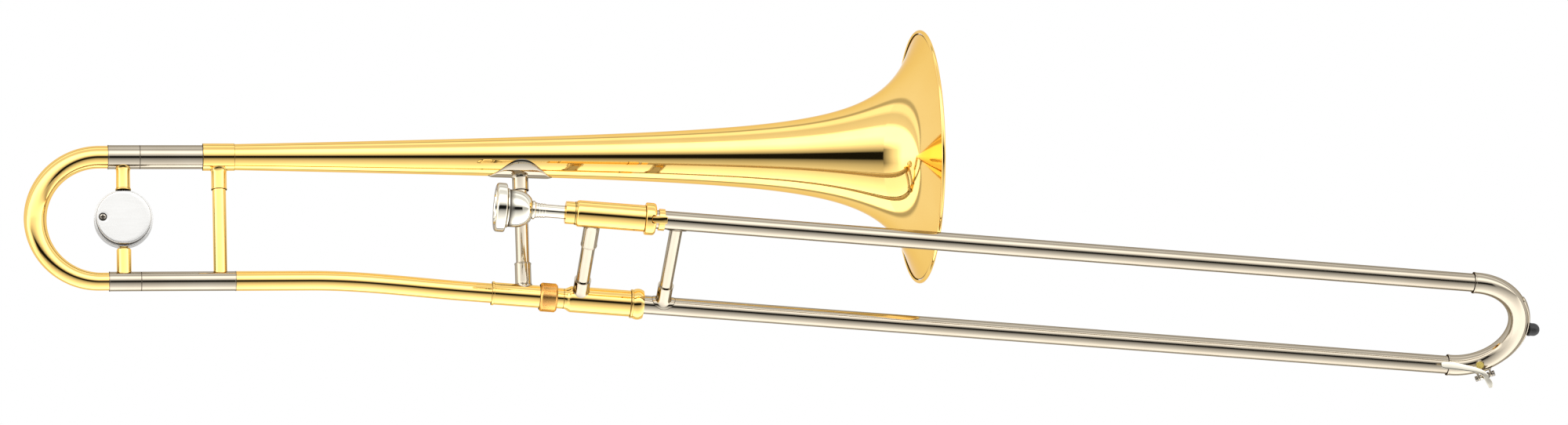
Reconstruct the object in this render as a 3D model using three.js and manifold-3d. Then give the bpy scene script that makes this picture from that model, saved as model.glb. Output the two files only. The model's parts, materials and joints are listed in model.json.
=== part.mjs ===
// A tenor trombone: bell section, tuning slide with its counterweight, hand slide, mouthpiece.
// Millimetres, +Z up. The bell section lies in the XZ plane with the bell opening towards +X;
// the origin is the middle of the bell brace, where the left hand holds the instrument.
import * as THREE from "three";
import { mergeVertices } from "three/addons/utils/BufferGeometryUtils.js";
import Module from "manifold-3d";

const wasm = await Module();
wasm.setup();

// ---------- Driving dimensions ----------

const GAP = 0.3; // clearance between neighbouring pieces
const LEG_WALL = 0.6; // wall of the tuning slide's legs and ferrules
const ROUND = 20; // sides of a round tube
const SMALL_ROUND = 12; // sides of a screw, post or pad
const ROUND_HALF = 8; // an arc counts its sides for half a turn

// Bell section
const BELL_Z = 56.5; // height of the bell's axis
const LEG_SPACING = 98.7; // bell axis to the lower tuning leg
const LOWER_Z = BELL_Z - LEG_SPACING;
const BELL_TAIL_X = -222;
const BELL_JOINT_X = 60; // where the spun flare meets the drawn tail
const BELL_RIM_X = 318.4;
const BELL_WALL = 0.6;
const BEAD_RADIUS = 1.6; // rolled edge of the bell

// Tuning slide: a bow, two ferrules and two inner legs
const BOW_APEX_X = -384;
const BOW_UPPER_RADIUS = 8.75; // tube radius at the upper leg
const BOW_LOWER_RADIUS = 6.9; // tube radius at the lower leg
const BOW_WALL = 0.8;
const BOW_FERRULE_X = -319.4;
const OUTER_LEG_X = -294.7;
const UPPER_LEG_END_X = -246.8;
const LOWER_LEG_END_X = -222.5;
const INNER_LEG_END_X = -225;
const UPPER_LEG_RADIUS = 9.25;
const LOWER_LEG_RADIUS = 7.5;
const TAIL_FERRULE_RADIUS = 10.6;
const WEIGHT_X = -307.9;
const WEIGHT_Z = 7.3;
const WEIGHT_RADIUS = 22.5;
const CAP_RADIUS = 20.9;
const WEIGHT_HALF = 7; // half of the counterweight's thickness
const CAP_DEPTH = 4.5;

// Neck: the line on which the hand slide's lower tube lies
const NECK_Z = -54.9; // its height at X = 0
const SLIDE_DROP = THREE.MathUtils.degToRad(4.68); // the slide dips below the bell axis
const NECK_RING_X = -25.2;
const RECEIVER_RADIUS = 8.7;
const NUT_X = 12.2;
const NUT_LENGTH = 13.5;
const NUT_RADIUS = 11.2;

// Hand slide, measured along the slide from the neck line's origin
const SLIDE_SPACING = 88; // centre to centre of the two slide tubes
const SLIDE_SWING = THREE.MathUtils.degToRad(55.2); // slide plane against the bell plane
const BARREL_RADIUS = 10.2;
const TENON_COLLAR_RADIUS = 7.95;
const MOUTH_RECEIVER_RADIUS = 8.7;
const LOWER_BARREL_X = 30.9;
const LOWER_BARREL_END_X = 83.2;
const UPPER_BARREL_X = 28.9;
const UPPER_BARREL_END_X = 82.6;
const INNER_TUBE_RADIUS = 6.5;
const INNER_TUBE_BORE = 6.15;
const STOCKING_X = 620;
const STOCKING_END_X = 722;
const OUTER_TUBE_X = 80.5; // its end rests on the cork, inside the barrel
const OUTER_TUBE_RADIUS = 7.2;
const OUTER_TUBE_BORE = 6.95;
const SLIDE_BOW_X = 741;
const SLIDE_BOW_CENTRE_X = 743.8;
const SLIDE_BOW_RADIUS = 8.2; // tube radius of the slide bow
const SLIDE_BOW_BORE = 6.9;
const INNER_BRACE_X = 43.5;
const OUTER_BRACE_X = 108.5;
const END_RING_BORE = 7.9; // of the lower end ring and of the lock ring
const LOCK_TURN = THREE.MathUtils.degToRad(49); // lug and notch, turned from the slide plane

// Water key: where it sits on the slide bow, and its hinge line
const KEY_ANGLE = THREE.MathUtils.degToRad(31.4); // along the bow from its lower end
const KEY_HINGE_OUT = 9; // hinge line from the bow's centreline, outwards
const KEY_HINGE_DOWN = 8.6; // and below the slide plane

// ---------- Materials ----------

const finish = (color, roughness, metalness) =>
  new THREE.MeshStandardMaterial({ color, roughness, metalness });
const brass = finish(0xe2b24a, 0.16, 1);
const nickel = finish(0xbdb4a6, 0.18, 1);
const silver = finish(0xe9e9e7, 0.12, 1);
const copper = finish(0xd98f45, 0.35, 1);
const steel = finish(0xd2d2d0, 0.3, 1);
const rubber = finish(0x161616, 0.7, 0);
const cork = finish(0xd8c67a, 0.9, 0);

// ---------- Making and joining ----------

// A closed geometry as a solid that can be joined and cut.
function solidOf(geometry) {
  const bare = geometry.clone();
  bare.deleteAttribute("normal");
  bare.deleteAttribute("uv");
  const merged = mergeVertices(bare, 1e-4);
  return new wasm.Manifold(
    new wasm.Mesh({
      numProp: 3,
      vertProperties: new Float32Array(merged.attributes.position.array),
      triVerts: new Uint32Array(merged.index.array),
    }),
  );
}

function geometryOf(solid) {
  const mesh = solid.getMesh();
  const geometry = new THREE.BufferGeometry();
  geometry.setAttribute("position", new THREE.BufferAttribute(mesh.vertProperties, 3));
  geometry.setIndex(new THREE.BufferAttribute(mesh.triVerts, 1));
  geometry.computeVertexNormals();
  return geometry;
}

const joined = (first, ...others) =>
  geometryOf(others.reduce((whole, other) => whole.add(solidOf(other)), solidOf(first)));
const shared = (first, second) => geometryOf(solidOf(first).intersect(solidOf(second)));
const cut = (first, second) => geometryOf(solidOf(first).subtract(solidOf(second)));

function piece(name, geometry, material) {
  const mesh = new THREE.Mesh(geometry, material);
  mesh.name = name;
  return mesh;
}

// A shape turned round the local X axis from [along, radius] pairs. A profile that leaves the
// axis alone is closed on itself, so it makes a ring.
function turned(profile, sides = ROUND) {
  const points = profile.map(([along, radius]) => new THREE.Vector2(radius, along));
  const ring = profile.every(([, radius]) => radius > 0);
  if (THREE.ShapeUtils.area(points) < 0) points.reverse();
  if (ring) points.push(points[0].clone());
  return new THREE.LatheGeometry(points, sides).rotateZ(-Math.PI / 2);
}

const tube = (start, end, radius, bore, sides = ROUND) =>
  turned([[start, bore], [start, radius], [end, radius], [end, bore]], sides);
const rod = (start, end, radius, sides = SMALL_ROUND) =>
  turned([[start, 0], [start, radius], [end, radius], [end, 0]], sides);

// A half circle of tube round (centre, 0, 0) in the local XZ plane, with a straight lead at
// each end; side is -1 where it bulges towards -X and 1 where it bulges towards +X.
class UBend extends THREE.Curve {
  constructor(centre, bend, lead, side) {
    super();
    Object.assign(this, { centre, bend, lead, side });
  }
  getPoint(share, target = new THREE.Vector3()) {
    const arc = Math.PI * this.bend;
    const along = share * (2 * this.lead + arc) - this.lead;
    const angle = THREE.MathUtils.clamp(along, 0, arc) / this.bend;
    const straight = Math.max(-along, along - arc, 0);
    const x = this.centre + this.side * (this.bend * Math.sin(angle) - straight);
    return target.set(x, 0, -this.bend * Math.cos(angle));
  }
}

// A hollow tube that follows a curve.
function bentTube(path, radius, bore, steps) {
  const section = new THREE.Shape().absarc(0, 0, radius, 0, 2 * Math.PI);
  section.holes.push(new THREE.Path().absarc(0, 0, bore, 0, 2 * Math.PI, true));
  return new THREE.ExtrudeGeometry(section, {
    steps,
    curveSegments: ROUND_HALF,
    extrudePath: path,
  });
}

// Draws a bend down towards its lower leg: every point moves in to the centreline by the share
// that the tube has narrowed there.
function tapered(geometry, bend, narrowest) {
  const position = geometry.attributes.position;
  const middle = new THREE.Vector3();
  const point = new THREE.Vector3();
  for (let i = 0; i < position.count; i++) {
    point.fromBufferAttribute(position, i);
    const inLead = (point.x - bend.centre) * bend.side < 0;
    const angle = Math.atan2((point.x - bend.centre) * bend.side, -point.z);
    if (inLead) middle.set(point.x, 0, Math.sign(point.z) * bend.bend);
    else {
      const out = bend.centre + bend.side * bend.bend * Math.sin(angle);
      middle.set(out, 0, -bend.bend * Math.cos(angle));
    }
    const turn = inLead ? (point.z < 0 ? 0 : Math.PI) : angle;
    const share = THREE.MathUtils.lerp(narrowest, 1, Math.min(1, turn / (Math.PI / 2)));
    point.sub(middle).multiplyScalar(share).add(middle);
    position.setXYZ(i, point.x, point.y, point.z);
  }
  return geometry;
}

// A saddle plate that lies on a tube along local X, on the side that faces +Z.
function saddle(start, end, radius, thickness, halfAngle) {
  const middle = Math.PI / 2;
  const outline = new THREE.Shape()
    .absarc(0, 0, radius + thickness, middle - halfAngle, middle + halfAngle)
    .absarc(0, 0, radius, middle + halfAngle, middle - halfAngle, true);
  const plate = new THREE.ExtrudeGeometry(outline, {
    depth: end - start,
    curveSegments: 8,
    bevelEnabled: false,
  });
  return plate.rotateX(Math.PI / 2).rotateZ(Math.PI / 2).translate(start, 0, 0);
}

// A group whose local X axis runs along the given turn, placed in its parent.
function frameAt(parent, [x, y, z], [turnX, turnY, turnZ] = [0, 0, 0]) {
  const group = new THREE.Group();
  group.position.set(x, y, z);
  group.rotation.set(turnX, turnY, turnZ);
  parent.add(group);
  return group;
}
const UPRIGHT = [0, -Math.PI / 2, 0]; // local X points up
const BACKWARD = [0, 0, Math.PI / 2]; // local X points to +Y

// ---------- Frames of reference ----------

const trombone = new THREE.Group();
const bellLine = frameAt(trombone, [0, 0, BELL_Z]);
const lowerLine = frameAt(trombone, [0, 0, LOWER_Z]);
const neckLine = frameAt(trombone, [0, 0, NECK_Z], [0, SLIDE_DROP, 0]);
const slidePlane = frameAt(neckLine, [0, 0, 0], [SLIDE_SWING, 0, 0]);
const upperSlide = frameAt(slidePlane, [0, 0, SLIDE_SPACING]);

// ---------- Bell section ----------

// Outer radius of the bell: a slow cone with a flare that grows without limit past the rim.
function hornRadius(x) {
  const CONE_RADIUS = 12.05; // of the cone alone at X = 0
  const CONE_SLOPE = 0.0166;
  const FLARE_RADIUS = 21.6; // what the flare adds 100 mm before the place where it has no limit
  const FLARE_END = 357.6;
  const FLARE_POWER = -1.42;
  const flare = FLARE_RADIUS * Math.pow((FLARE_END - x) / 100, FLARE_POWER);
  return CONE_RADIUS + CONE_SLOPE * x + flare;
}

// Points of the horn between two places, closer together where it flares.
function hornProfile(start, end, count, extra) {
  const points = [];
  for (let i = 0; i <= count; i++) {
    const x = THREE.MathUtils.lerp(start, end, Math.sin((i / count) * (Math.PI / 2)));
    points.push([x, hornRadius(x) + extra]);
  }
  return points;
}

function hornShell(start, end, count, inner, outer) {
  const outside = hornProfile(start, end, count, outer);
  const inside = hornProfile(start, end, count, inner).reverse();
  return [...outside, ...inside];
}

function bell() {
  const FLARE_SIDES = 30;
  const rimRadius = hornRadius(BELL_RIM_X);
  const flareEnd = BELL_RIM_X - 0.5; // just clear of the bead
  const tail = hornShell(BELL_TAIL_X, BELL_JOINT_X - GAP, 4, -BELL_WALL, 0);
  const flare = hornShell(BELL_JOINT_X, flareEnd, 12, -BELL_WALL, 0);
  const bead = [];
  const BEAD_SIDES = 6;
  for (let i = 0; i < BEAD_SIDES; i++) {
    const turn = (i / BEAD_SIDES) * 2 * Math.PI;
    const along = BELL_RIM_X + BEAD_RADIUS * Math.cos(turn);
    bead.push([along, rimRadius + BEAD_RADIUS * Math.sin(turn)]);
  }
  bellLine.add(
    piece("bell_tail", turned(tail), brass),
    piece("bell_flare", turned(flare, FLARE_SIDES), brass),
    piece("bell_rim_bead", turned(bead, FLARE_SIDES), brass),
  );
}

function bellLegs() {
  const upperBore = UPPER_LEG_RADIUS - LEG_WALL;
  const lowerBore = LOWER_LEG_RADIUS - LEG_WALL;
  const upperLeg = tube(OUTER_LEG_X, UPPER_LEG_END_X, UPPER_LEG_RADIUS, upperBore);
  const lowerLeg = tube(OUTER_LEG_X, LOWER_LEG_END_X, LOWER_LEG_RADIUS, lowerBore);
  const ferruleStart = UPPER_LEG_END_X + GAP;
  const ferrule = tube(ferruleStart, BELL_TAIL_X - GAP, TAIL_FERRULE_RADIUS, upperBore);
  bellLine.add(
    piece("upper_outer_leg", upperLeg, nickel),
    piece("bell_tail_ferrule", ferrule, brass),
  );
  lowerLine.add(piece("lower_outer_leg", lowerLeg, nickel));
}

// The gooseneck leaves the lower leg level and bends down onto the neck line.
function gooseneck() {
  const RADIUS = 7.6;
  const BORE = 7;
  const neckHeight = (x) => NECK_Z - Math.tan(SLIDE_DROP) * x;
  const level = (x) => new THREE.Vector3(x, 0, LOWER_Z);
  const sloping = (x) => new THREE.Vector3(x, 0, neckHeight(x));
  const start = level(LOWER_LEG_END_X + GAP);
  const end = sloping(NECK_RING_X - 2 * GAP);
  const path = new THREE.CurvePath();
  path.add(new THREE.LineCurve3(start, level(-165)));
  path.add(new THREE.CubicBezierCurve3(level(-165), level(-125), sloping(-85), sloping(-45)));
  path.add(new THREE.LineCurve3(sloping(-45), end));
  trombone.add(piece("gooseneck", bentTube(path, RADIUS, BORE, 12), brass));
}

function neckReceiver() {
  const BORE = 7.9;
  const RING_RADIUS = 9.3;
  const RING_LENGTH = 1.8;
  const LIP = 1.5; // the nut reaches this far past the receiver
  const nutEnd = NUT_X + NUT_LENGTH;
  const receiver = turned([
    [NECK_RING_X, BORE],
    [NECK_RING_X, RING_RADIUS],
    [NECK_RING_X + RING_LENGTH, RING_RADIUS],
    [NECK_RING_X + RING_LENGTH, RECEIVER_RADIUS],
    [nutEnd - LIP, RECEIVER_RADIUS],
    [nutEnd - LIP, BORE],
  ]);
  const CHAMFER = 1.2;
  const nutBore = RECEIVER_RADIUS + GAP;
  const nut = turned([
    [NUT_X, nutBore],
    [NUT_X, NUT_RADIUS - CHAMFER],
    [NUT_X + CHAMFER, NUT_RADIUS],
    [nutEnd - CHAMFER, NUT_RADIUS],
    [nutEnd, NUT_RADIUS - CHAMFER],
    [nutEnd, nutBore],
  ]);
  neckLine.add(piece("neck_receiver", receiver, brass), piece("neck_lock_nut", nut, copper));
}

// The bell brace: an ogee-shaped flange on the bell, two sockets and a tube.
function bellBrace() {
  const REACH = 25; // half of the flange's length along the bell
  const PEAK = 5.4; // how far below the bell axis its side points end
  const THICKNESS = 1;
  const SOCKET = 6.3;
  const TUBE = 5.2;
  const BELOW = 20; // clear of the bell on every side
  const TOE = 14.2; // below the bell axis, where the flange's long points end
  const KNEE = 12;
  const outline = new THREE.Shape();
  outline.moveTo(-REACH, -BELOW);
  outline.lineTo(-REACH, -TOE);
  outline.bezierCurveTo(-REACH / 2, -KNEE, -REACH / 3, -PEAK, 0, -PEAK);
  outline.bezierCurveTo(REACH / 3, -PEAK, REACH / 2, -KNEE, REACH, -TOE);
  outline.lineTo(REACH, -BELOW);
  const slab = new THREE.ExtrudeGeometry(outline, {
    depth: 2 * BELOW,
    curveSegments: 6,
    bevelEnabled: false,
  });
  slab.rotateX(Math.PI / 2).translate(0, BELOW, 0);
  const skin = turned(hornShell(-REACH - 1, REACH + 1, 4, GAP, GAP + THICKNESS), 24);
  bellLine.add(piece("bell_brace_flange", shared(skin, slab), nickel));
  const upright = frameAt(trombone, [0, 0, 0], UPRIGHT);
  const top = BELL_Z - hornRadius(SOCKET) - THICKNESS - 2 * GAP;
  const bottom = NECK_Z + RECEIVER_RADIUS + 1;
  const SOCKET_END = 29.2;
  upright.add(
    piece("bell_brace_upper_socket", rod(SOCKET_END, top, SOCKET, ROUND), nickel),
    piece("bell_brace_tube", rod(GAP - SOCKET_END, SOCKET_END - GAP, TUBE, 16), nickel),
    piece("bell_brace_lower_socket", rod(bottom, -SOCKET_END, SOCKET, ROUND), nickel),
  );
}

// The plain stay between the bell's tail ferrule and the lower leg.
function rearStay() {
  const STAY_X = -234.3;
  const SOCKET_END = 30.3;
  const upright = frameAt(trombone, [STAY_X, 0, 0], UPRIGHT);
  const top = BELL_Z - TAIL_FERRULE_RADIUS - 2 * GAP;
  const bottom = LOWER_Z + LOWER_LEG_RADIUS + GAP;
  upright.add(
    piece("rear_stay_socket", rod(SOCKET_END, top, 5.9, 16), brass),
    piece("rear_stay_tube", rod(bottom, SOCKET_END - GAP, 5.25, 16), brass),
  );
}

// ---------- Tuning slide ----------

function tuningBow() {
  const bend = LEG_SPACING / 2;
  const centre = BOW_APEX_X + BOW_UPPER_RADIUS + bend;
  const lead = BOW_FERRULE_X - GAP - centre;
  const path = new UBend(centre, bend, lead, -1);
  const blank = bentTube(path, BOW_UPPER_RADIUS, BOW_UPPER_RADIUS - BOW_WALL, 14);
  const bow = tapered(blank, path, BOW_LOWER_RADIUS / BOW_UPPER_RADIUS);
  const middle = frameAt(trombone, [0, 0, LOWER_Z + bend]);
  middle.add(piece("tuning_bow", bow, brass));
}

function tuningLegs() {
  const ferruleEnd = OUTER_LEG_X - GAP;
  const legStart = BOW_FERRULE_X + 1;
  for (const [side, line, radius] of [
    ["upper", bellLine, UPPER_LEG_RADIUS],
    ["lower", lowerLine, LOWER_LEG_RADIUS],
  ]) {
    const bore = radius - LEG_WALL;
    const slider = bore - GAP;
    const ferrule = tube(BOW_FERRULE_X, ferruleEnd, radius, bore);
    const innerLeg = tube(legStart, INNER_LEG_END_X, slider, slider - LEG_WALL);
    line.add(
      piece(side + "_bow_ferrule", ferrule, nickel),
      piece(side + "_inner_leg", innerLeg, nickel),
    );
  }
}

// The counterweight: a two-part disc on two short stubs between the bow ferrules.
function counterweight() {
  const CHAMFER = 0.8;
  const parting = -WEIGHT_HALF + CAP_DEPTH;
  const across = frameAt(trombone, [WEIGHT_X, 0, WEIGHT_Z], BACKWARD);
  const body = turned([
    [parting + GAP, 0],
    [parting + GAP, WEIGHT_RADIUS],
    [WEIGHT_HALF - 2, WEIGHT_RADIUS],
    [WEIGHT_HALF, WEIGHT_RADIUS - 2],
    [WEIGHT_HALF, 0],
  ], 32);
  const SCREW_OUT = 16;
  const SCREW_RADIUS = 2.6;
  const capBlank = turned([
    [-WEIGHT_HALF, 0],
    [-WEIGHT_HALF, CAP_RADIUS - CHAMFER],
    [CHAMFER - WEIGHT_HALF, CAP_RADIUS],
    [parting, CAP_RADIUS],
    [parting, 0],
  ], 32);
  const well = rod(-WEIGHT_HALF - 1, parting - 1, SCREW_RADIUS + GAP).translate(0, SCREW_OUT, 0);
  const screw = rod(0.4 - WEIGHT_HALF, parting - 1 - GAP, SCREW_RADIUS).translate(0, SCREW_OUT, 0);
  across.add(
    piece("counterweight_body", body, steel),
    piece("counterweight_cap", cut(capBlank, well), steel),
    piece("counterweight_screw", screw, steel),
  );
  const upright = frameAt(trombone, [WEIGHT_X, 0, 0], UPRIGHT);
  const legFoot = BELL_Z - UPPER_LEG_RADIUS - GAP;
  const lowerFoot = LOWER_Z + LOWER_LEG_RADIUS + GAP;
  const upperStub = turned([
    [WEIGHT_Z + WEIGHT_RADIUS + GAP, 0],
    [WEIGHT_Z + WEIGHT_RADIUS + GAP, 6],
    [legFoot, 5.4],
    [legFoot, 0],
  ], 16);
  const lowerStub = rod(lowerFoot, WEIGHT_Z - WEIGHT_RADIUS - GAP, 5.6, 16);
  upright.add(
    piece("counterweight_upper_stub", upperStub, brass),
    piece("counterweight_lower_stub", lowerStub, brass),
  );
}

// ---------- Inner slide ----------

// The tenon tapers into the neck receiver and ends in a collar against the lower barrel.
function slideTenon() {
  const START = 2;
  const COLLAR_X = 24.6;
  const tenon = turned([
    [START, INNER_TUBE_BORE],
    [START, 7.4],
    [COLLAR_X, 7.6],
    [COLLAR_X, TENON_COLLAR_RADIUS],
    [LOWER_BARREL_X - GAP, TENON_COLLAR_RADIUS],
    [LOWER_BARREL_X - GAP, INNER_TUBE_BORE],
  ]);
  slidePlane.add(piece("slide_tenon", tenon, brass));
}

// A cork barrel: a shouldered sleeve, closed round the inner tube at its left end.
function corkBarrel(start, end, neckRadius) {
  const SHOULDER = 3;
  const WALL = 0.9;
  const collar = INNER_TUBE_RADIUS + GAP;
  return turned([
    [start, collar],
    [start, neckRadius],
    [start + SHOULDER, BARREL_RADIUS],
    [end, BARREL_RADIUS],
    [end, BARREL_RADIUS - WALL],
    [start + SHOULDER + 2, BARREL_RADIUS - WALL],
    [start + SHOULDER + 2, collar],
  ]);
}

// Each inner tube ends in a slightly thicker stocking, and a cork ring in its barrel stops the
// outer tube.
function innerSlideTubes() {
  const STOCKING_RADIUS = 6.65;
  const CORK_X = 70;
  const CORK_RADIUS = 9;
  const CORK_BORE = 6.8;
  for (const [side, line, barrelStart] of [
    ["upper", upperSlide, UPPER_BARREL_X],
    ["lower", slidePlane, LOWER_BARREL_X],
  ]) {
    const start = barrelStart + GAP;
    const innerTube = tube(start, STOCKING_X, INNER_TUBE_RADIUS, INNER_TUBE_BORE);
    const stockingStart = STOCKING_X + GAP;
    const stocking = tube(stockingStart, STOCKING_END_X, STOCKING_RADIUS, INNER_TUBE_BORE);
    const bumper = tube(CORK_X, OUTER_TUBE_X - GAP, CORK_RADIUS, CORK_BORE);
    line.add(
      piece(side + "_inner_tube", innerTube, nickel),
      piece(side + "_stocking", stocking, nickel),
      piece(side + "_cork", bumper, cork),
    );
  }
}

function barrels() {
  const RING_END = 93.4;
  const RING_RADIUS = 12.1;
  const SOFT = 2.5; // rounding of the end ring
  const ringStart = LOWER_BARREL_END_X + GAP;
  const endRing = turned([
    [ringStart, END_RING_BORE],
    [ringStart, BARREL_RADIUS],
    [ringStart + SOFT, RING_RADIUS],
    [RING_END - SOFT, RING_RADIUS],
    [RING_END, RING_RADIUS - SOFT],
    [RING_END, END_RING_BORE],
  ]);
  const lower = corkBarrel(LOWER_BARREL_X, LOWER_BARREL_END_X, TENON_COLLAR_RADIUS);
  const upper = corkBarrel(UPPER_BARREL_X, UPPER_BARREL_END_X, MOUTH_RECEIVER_RADIUS);
  slidePlane.add(
    piece("lower_cork_barrel", lower, brass),
    piece("lower_barrel_end_ring", endRing, brass),
  );
  upperSlide.add(piece("upper_cork_barrel", upper, brass));
}

// The receiver and lead pipe that the mouthpiece pushes into, inside the upper inner tube.
function mouthpieceReceiver() {
  const START = 21.3;
  const BORE = 5.6;
  const LEADPIPE_X = 48;
  const LEADPIPE_END = 240;
  const receiver = tube(START, UPPER_BARREL_X - GAP, MOUTH_RECEIVER_RADIUS, BORE);
  const leadpipe = tube(LEADPIPE_X, LEADPIPE_END, INNER_TUBE_BORE - GAP, 5.5, 16);
  upperSlide.add(
    piece("mouthpiece_receiver", receiver, brass),
    piece("leadpipe", leadpipe, brass),
  );
}

// A brace between two tubes of the hand slide, from the lower line up to the upper one.
function innerBrace() {
  const upright = frameAt(slidePlane, [INNER_BRACE_X, 0, 0], UPRIGHT);
  const bottom = BARREL_RADIUS + GAP;
  const top = SLIDE_SPACING - BARREL_RADIUS - GAP;
  const LOWER_RING = 21.5;
  const UPPER_RING = 57;
  upright.add(
    piece("inner_brace_lower_socket", rod(bottom, LOWER_RING, 6.3, 16), nickel),
    piece("inner_brace_tube", rod(LOWER_RING + GAP, UPPER_RING - GAP, 5.3, 16), nickel),
    piece("inner_brace_upper_socket", rod(UPPER_RING, top, 6.2, 16), nickel),
  );
}

// The lock ring turns on the upper barrel's end; its notch lets the slide's lug in and out.
function slideLockRing() {
  const START = UPPER_BARREL_END_X + GAP;
  const END = 91.1;
  const CHANNEL = 9.8; // bore of its open end, where the lug turns
  const RADIUS = 12.45;
  const SOFT = 1.7; // rounding of its edges
  const WEB = 3; // thickness of its closed end
  const ring = turned([
    [START, END_RING_BORE],
    [START, RADIUS - SOFT],
    [START + SOFT, RADIUS],
    [END - SOFT, RADIUS],
    [END, RADIUS - SOFT],
    [END, CHANNEL],
    [START + WEB, CHANNEL],
    [START + WEB, END_RING_BORE],
  ]);
  const notch = new THREE.BoxGeometry(6, 7, 8);
  notch.translate(END, 0, 11).rotateX(LOCK_TURN);
  upperSlide.add(piece("slide_lock_ring", cut(ring, notch), brass));
}

// ---------- Mouthpiece ----------

function mouthpiece() {
  const body = turned([
    [-32.7, 14.2],
    [-32.7, 16.6],
    [-30.8, 18.8],
    [-24.6, 18.8],
    [-23.4, 17.6],
    [-22.7, 14.4],
    [-16, 14.1],
    [-9, 10.8],
    [-4, 6.4],
    [-3.4, 7.2],
    [3.8, 6.6],
    [8.6, 5],
    [46, 5],
    [46, 4.2],
    [-4, 3.2],
    [-9, 3.6],
    [-14, 9],
    [-20, 11.6],
    [-30, 12.7],
  ], 24);
  upperSlide.add(piece("mouthpiece", body, silver));
}

// ---------- Outer slide ----------

function outerTubes() {
  for (const [side, line] of [["upper", upperSlide], ["lower", slidePlane]]) {
    const outer = tube(OUTER_TUBE_X, SLIDE_BOW_X - GAP, OUTER_TUBE_RADIUS, OUTER_TUBE_BORE);
    line.add(piece(side + "_outer_tube", outer, nickel));
  }
}

// The lock collar on the upper outer tube, with the lug that the lock ring holds.
function slideLockCollar() {
  const START = 93.4;
  const END = 98.1;
  const inner = OUTER_TUBE_RADIUS + GAP;
  const collar = tube(START, END, 8.4, inner);
  const LUG_START = 87.5;
  const LUG_END = 99.6;
  const WIDTH = 5.6;
  const HEIGHT = 1.7;
  const lug = new THREE.BoxGeometry(LUG_END - LUG_START, WIDTH, HEIGHT);
  lug.translate((LUG_START + LUG_END) / 2, 0, 8.9 - HEIGHT / 2 + GAP).rotateX(LOCK_TURN);
  upperSlide.add(piece("slide_lock_collar", joined(collar, lug), brass));
}

function outerBrace() {
  const THICKNESS = 0.6;
  const SPREAD = THREE.MathUtils.degToRad(75);
  const seat = OUTER_TUBE_RADIUS + GAP;
  const lowerSaddle = saddle(99.6, 118, seat, THICKNESS, SPREAD);
  const upperSaddle = saddle(99.9, 117, seat, THICKNESS, SPREAD).rotateX(Math.PI);
  slidePlane.add(piece("outer_brace_lower_saddle", lowerSaddle, nickel));
  upperSlide.add(piece("outer_brace_upper_saddle", upperSaddle, nickel));
  const upright = frameAt(slidePlane, [OUTER_BRACE_X, 0, 0], UPRIGHT);
  const foot = seat + THICKNESS + GAP;
  const RING = 21.9;
  upright.add(
    piece("outer_brace_lower_socket", rod(foot, RING, 5.9, 16), nickel),
    piece("outer_brace_tube", rod(RING + GAP, SLIDE_SPACING - foot, 4.95, 16), nickel),
  );
}

function slideBow() {
  const bend = SLIDE_SPACING / 2;
  const lead = SLIDE_BOW_CENTRE_X - SLIDE_BOW_X;
  const path = new UBend(SLIDE_BOW_CENTRE_X, bend, lead, 1);
  const middle = frameAt(slidePlane, [0, 0, bend]);
  const bow = bentTube(path, SLIDE_BOW_RADIUS, SLIDE_BOW_BORE, 14);
  middle.add(piece("slide_bow", bow, nickel));
  // A thin guard strip round the outside of the bow carries the rubber bumper.
  const THICKNESS = 0.8;
  const inner = bend + SLIDE_BOW_RADIUS + GAP;
  const outer = inner + THICKNESS;
  const spread = THREE.MathUtils.degToRad(38);
  const WIDTH = 6;
  const strip = new THREE.Shape()
    .absarc(0, 0, outer, -spread, spread)
    .absarc(0, 0, inner, spread, -spread, true);
  const guard = new THREE.ExtrudeGeometry(strip, {
    depth: WIDTH,
    curveSegments: 10,
    bevelEnabled: false,
  });
  guard.rotateX(Math.PI / 2).translate(SLIDE_BOW_CENTRE_X, WIDTH / 2, 0);
  const seat = SLIDE_BOW_CENTRE_X + outer + GAP;
  const bumper = turned([
    [seat, 0],
    [seat, 5.2],
    [seat + 4.6, 5.4],
    [seat + 7.2, 4.4],
    [seat + 8.8, 1.8],
    [seat + 8.8, 0],
  ], 16);
  middle.add(piece("bow_guard", guard, nickel), piece("bow_bumper", bumper, rubber));
}

// ---------- Water key ----------

// Its frame sits on the bow's centreline: local X along the tube, Z in towards the middle of
// the bend and Y up out of the slide plane. The key is below the plane and outside the bend,
// so its hinge line is at local -Y and -Z.
const keyFrame = frameAt(
  slidePlane,
  [
    SLIDE_BOW_CENTRE_X + (SLIDE_SPACING / 2) * Math.sin(KEY_ANGLE),
    0,
    (SLIDE_SPACING / 2) * (1 - Math.cos(KEY_ANGLE)),
  ],
  [0, -KEY_ANGLE, 0],
);
const hingeFrame = frameAt(keyFrame, [0, -KEY_HINGE_DOWN, -KEY_HINGE_OUT]);
const KEY_PIN_RADIUS = 0.9;
const KEY_BARREL_RADIUS = 2.2;
const KEY_TAB_X = 5; // the two tabs stand this far either side of the key's middle
const KEY_TAB_THICKNESS = 1.5;
const KEY_SEAT = SLIDE_BOW_RADIUS + GAP;
const NIPPLE_TURN = THREE.MathUtils.degToRad(63); // round the tube, from the bend's middle
const NIPPLE_HEIGHT = 1.2;
const PAD_RADIUS = 3;
const PAD_HEIGHT = 1.2;

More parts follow.
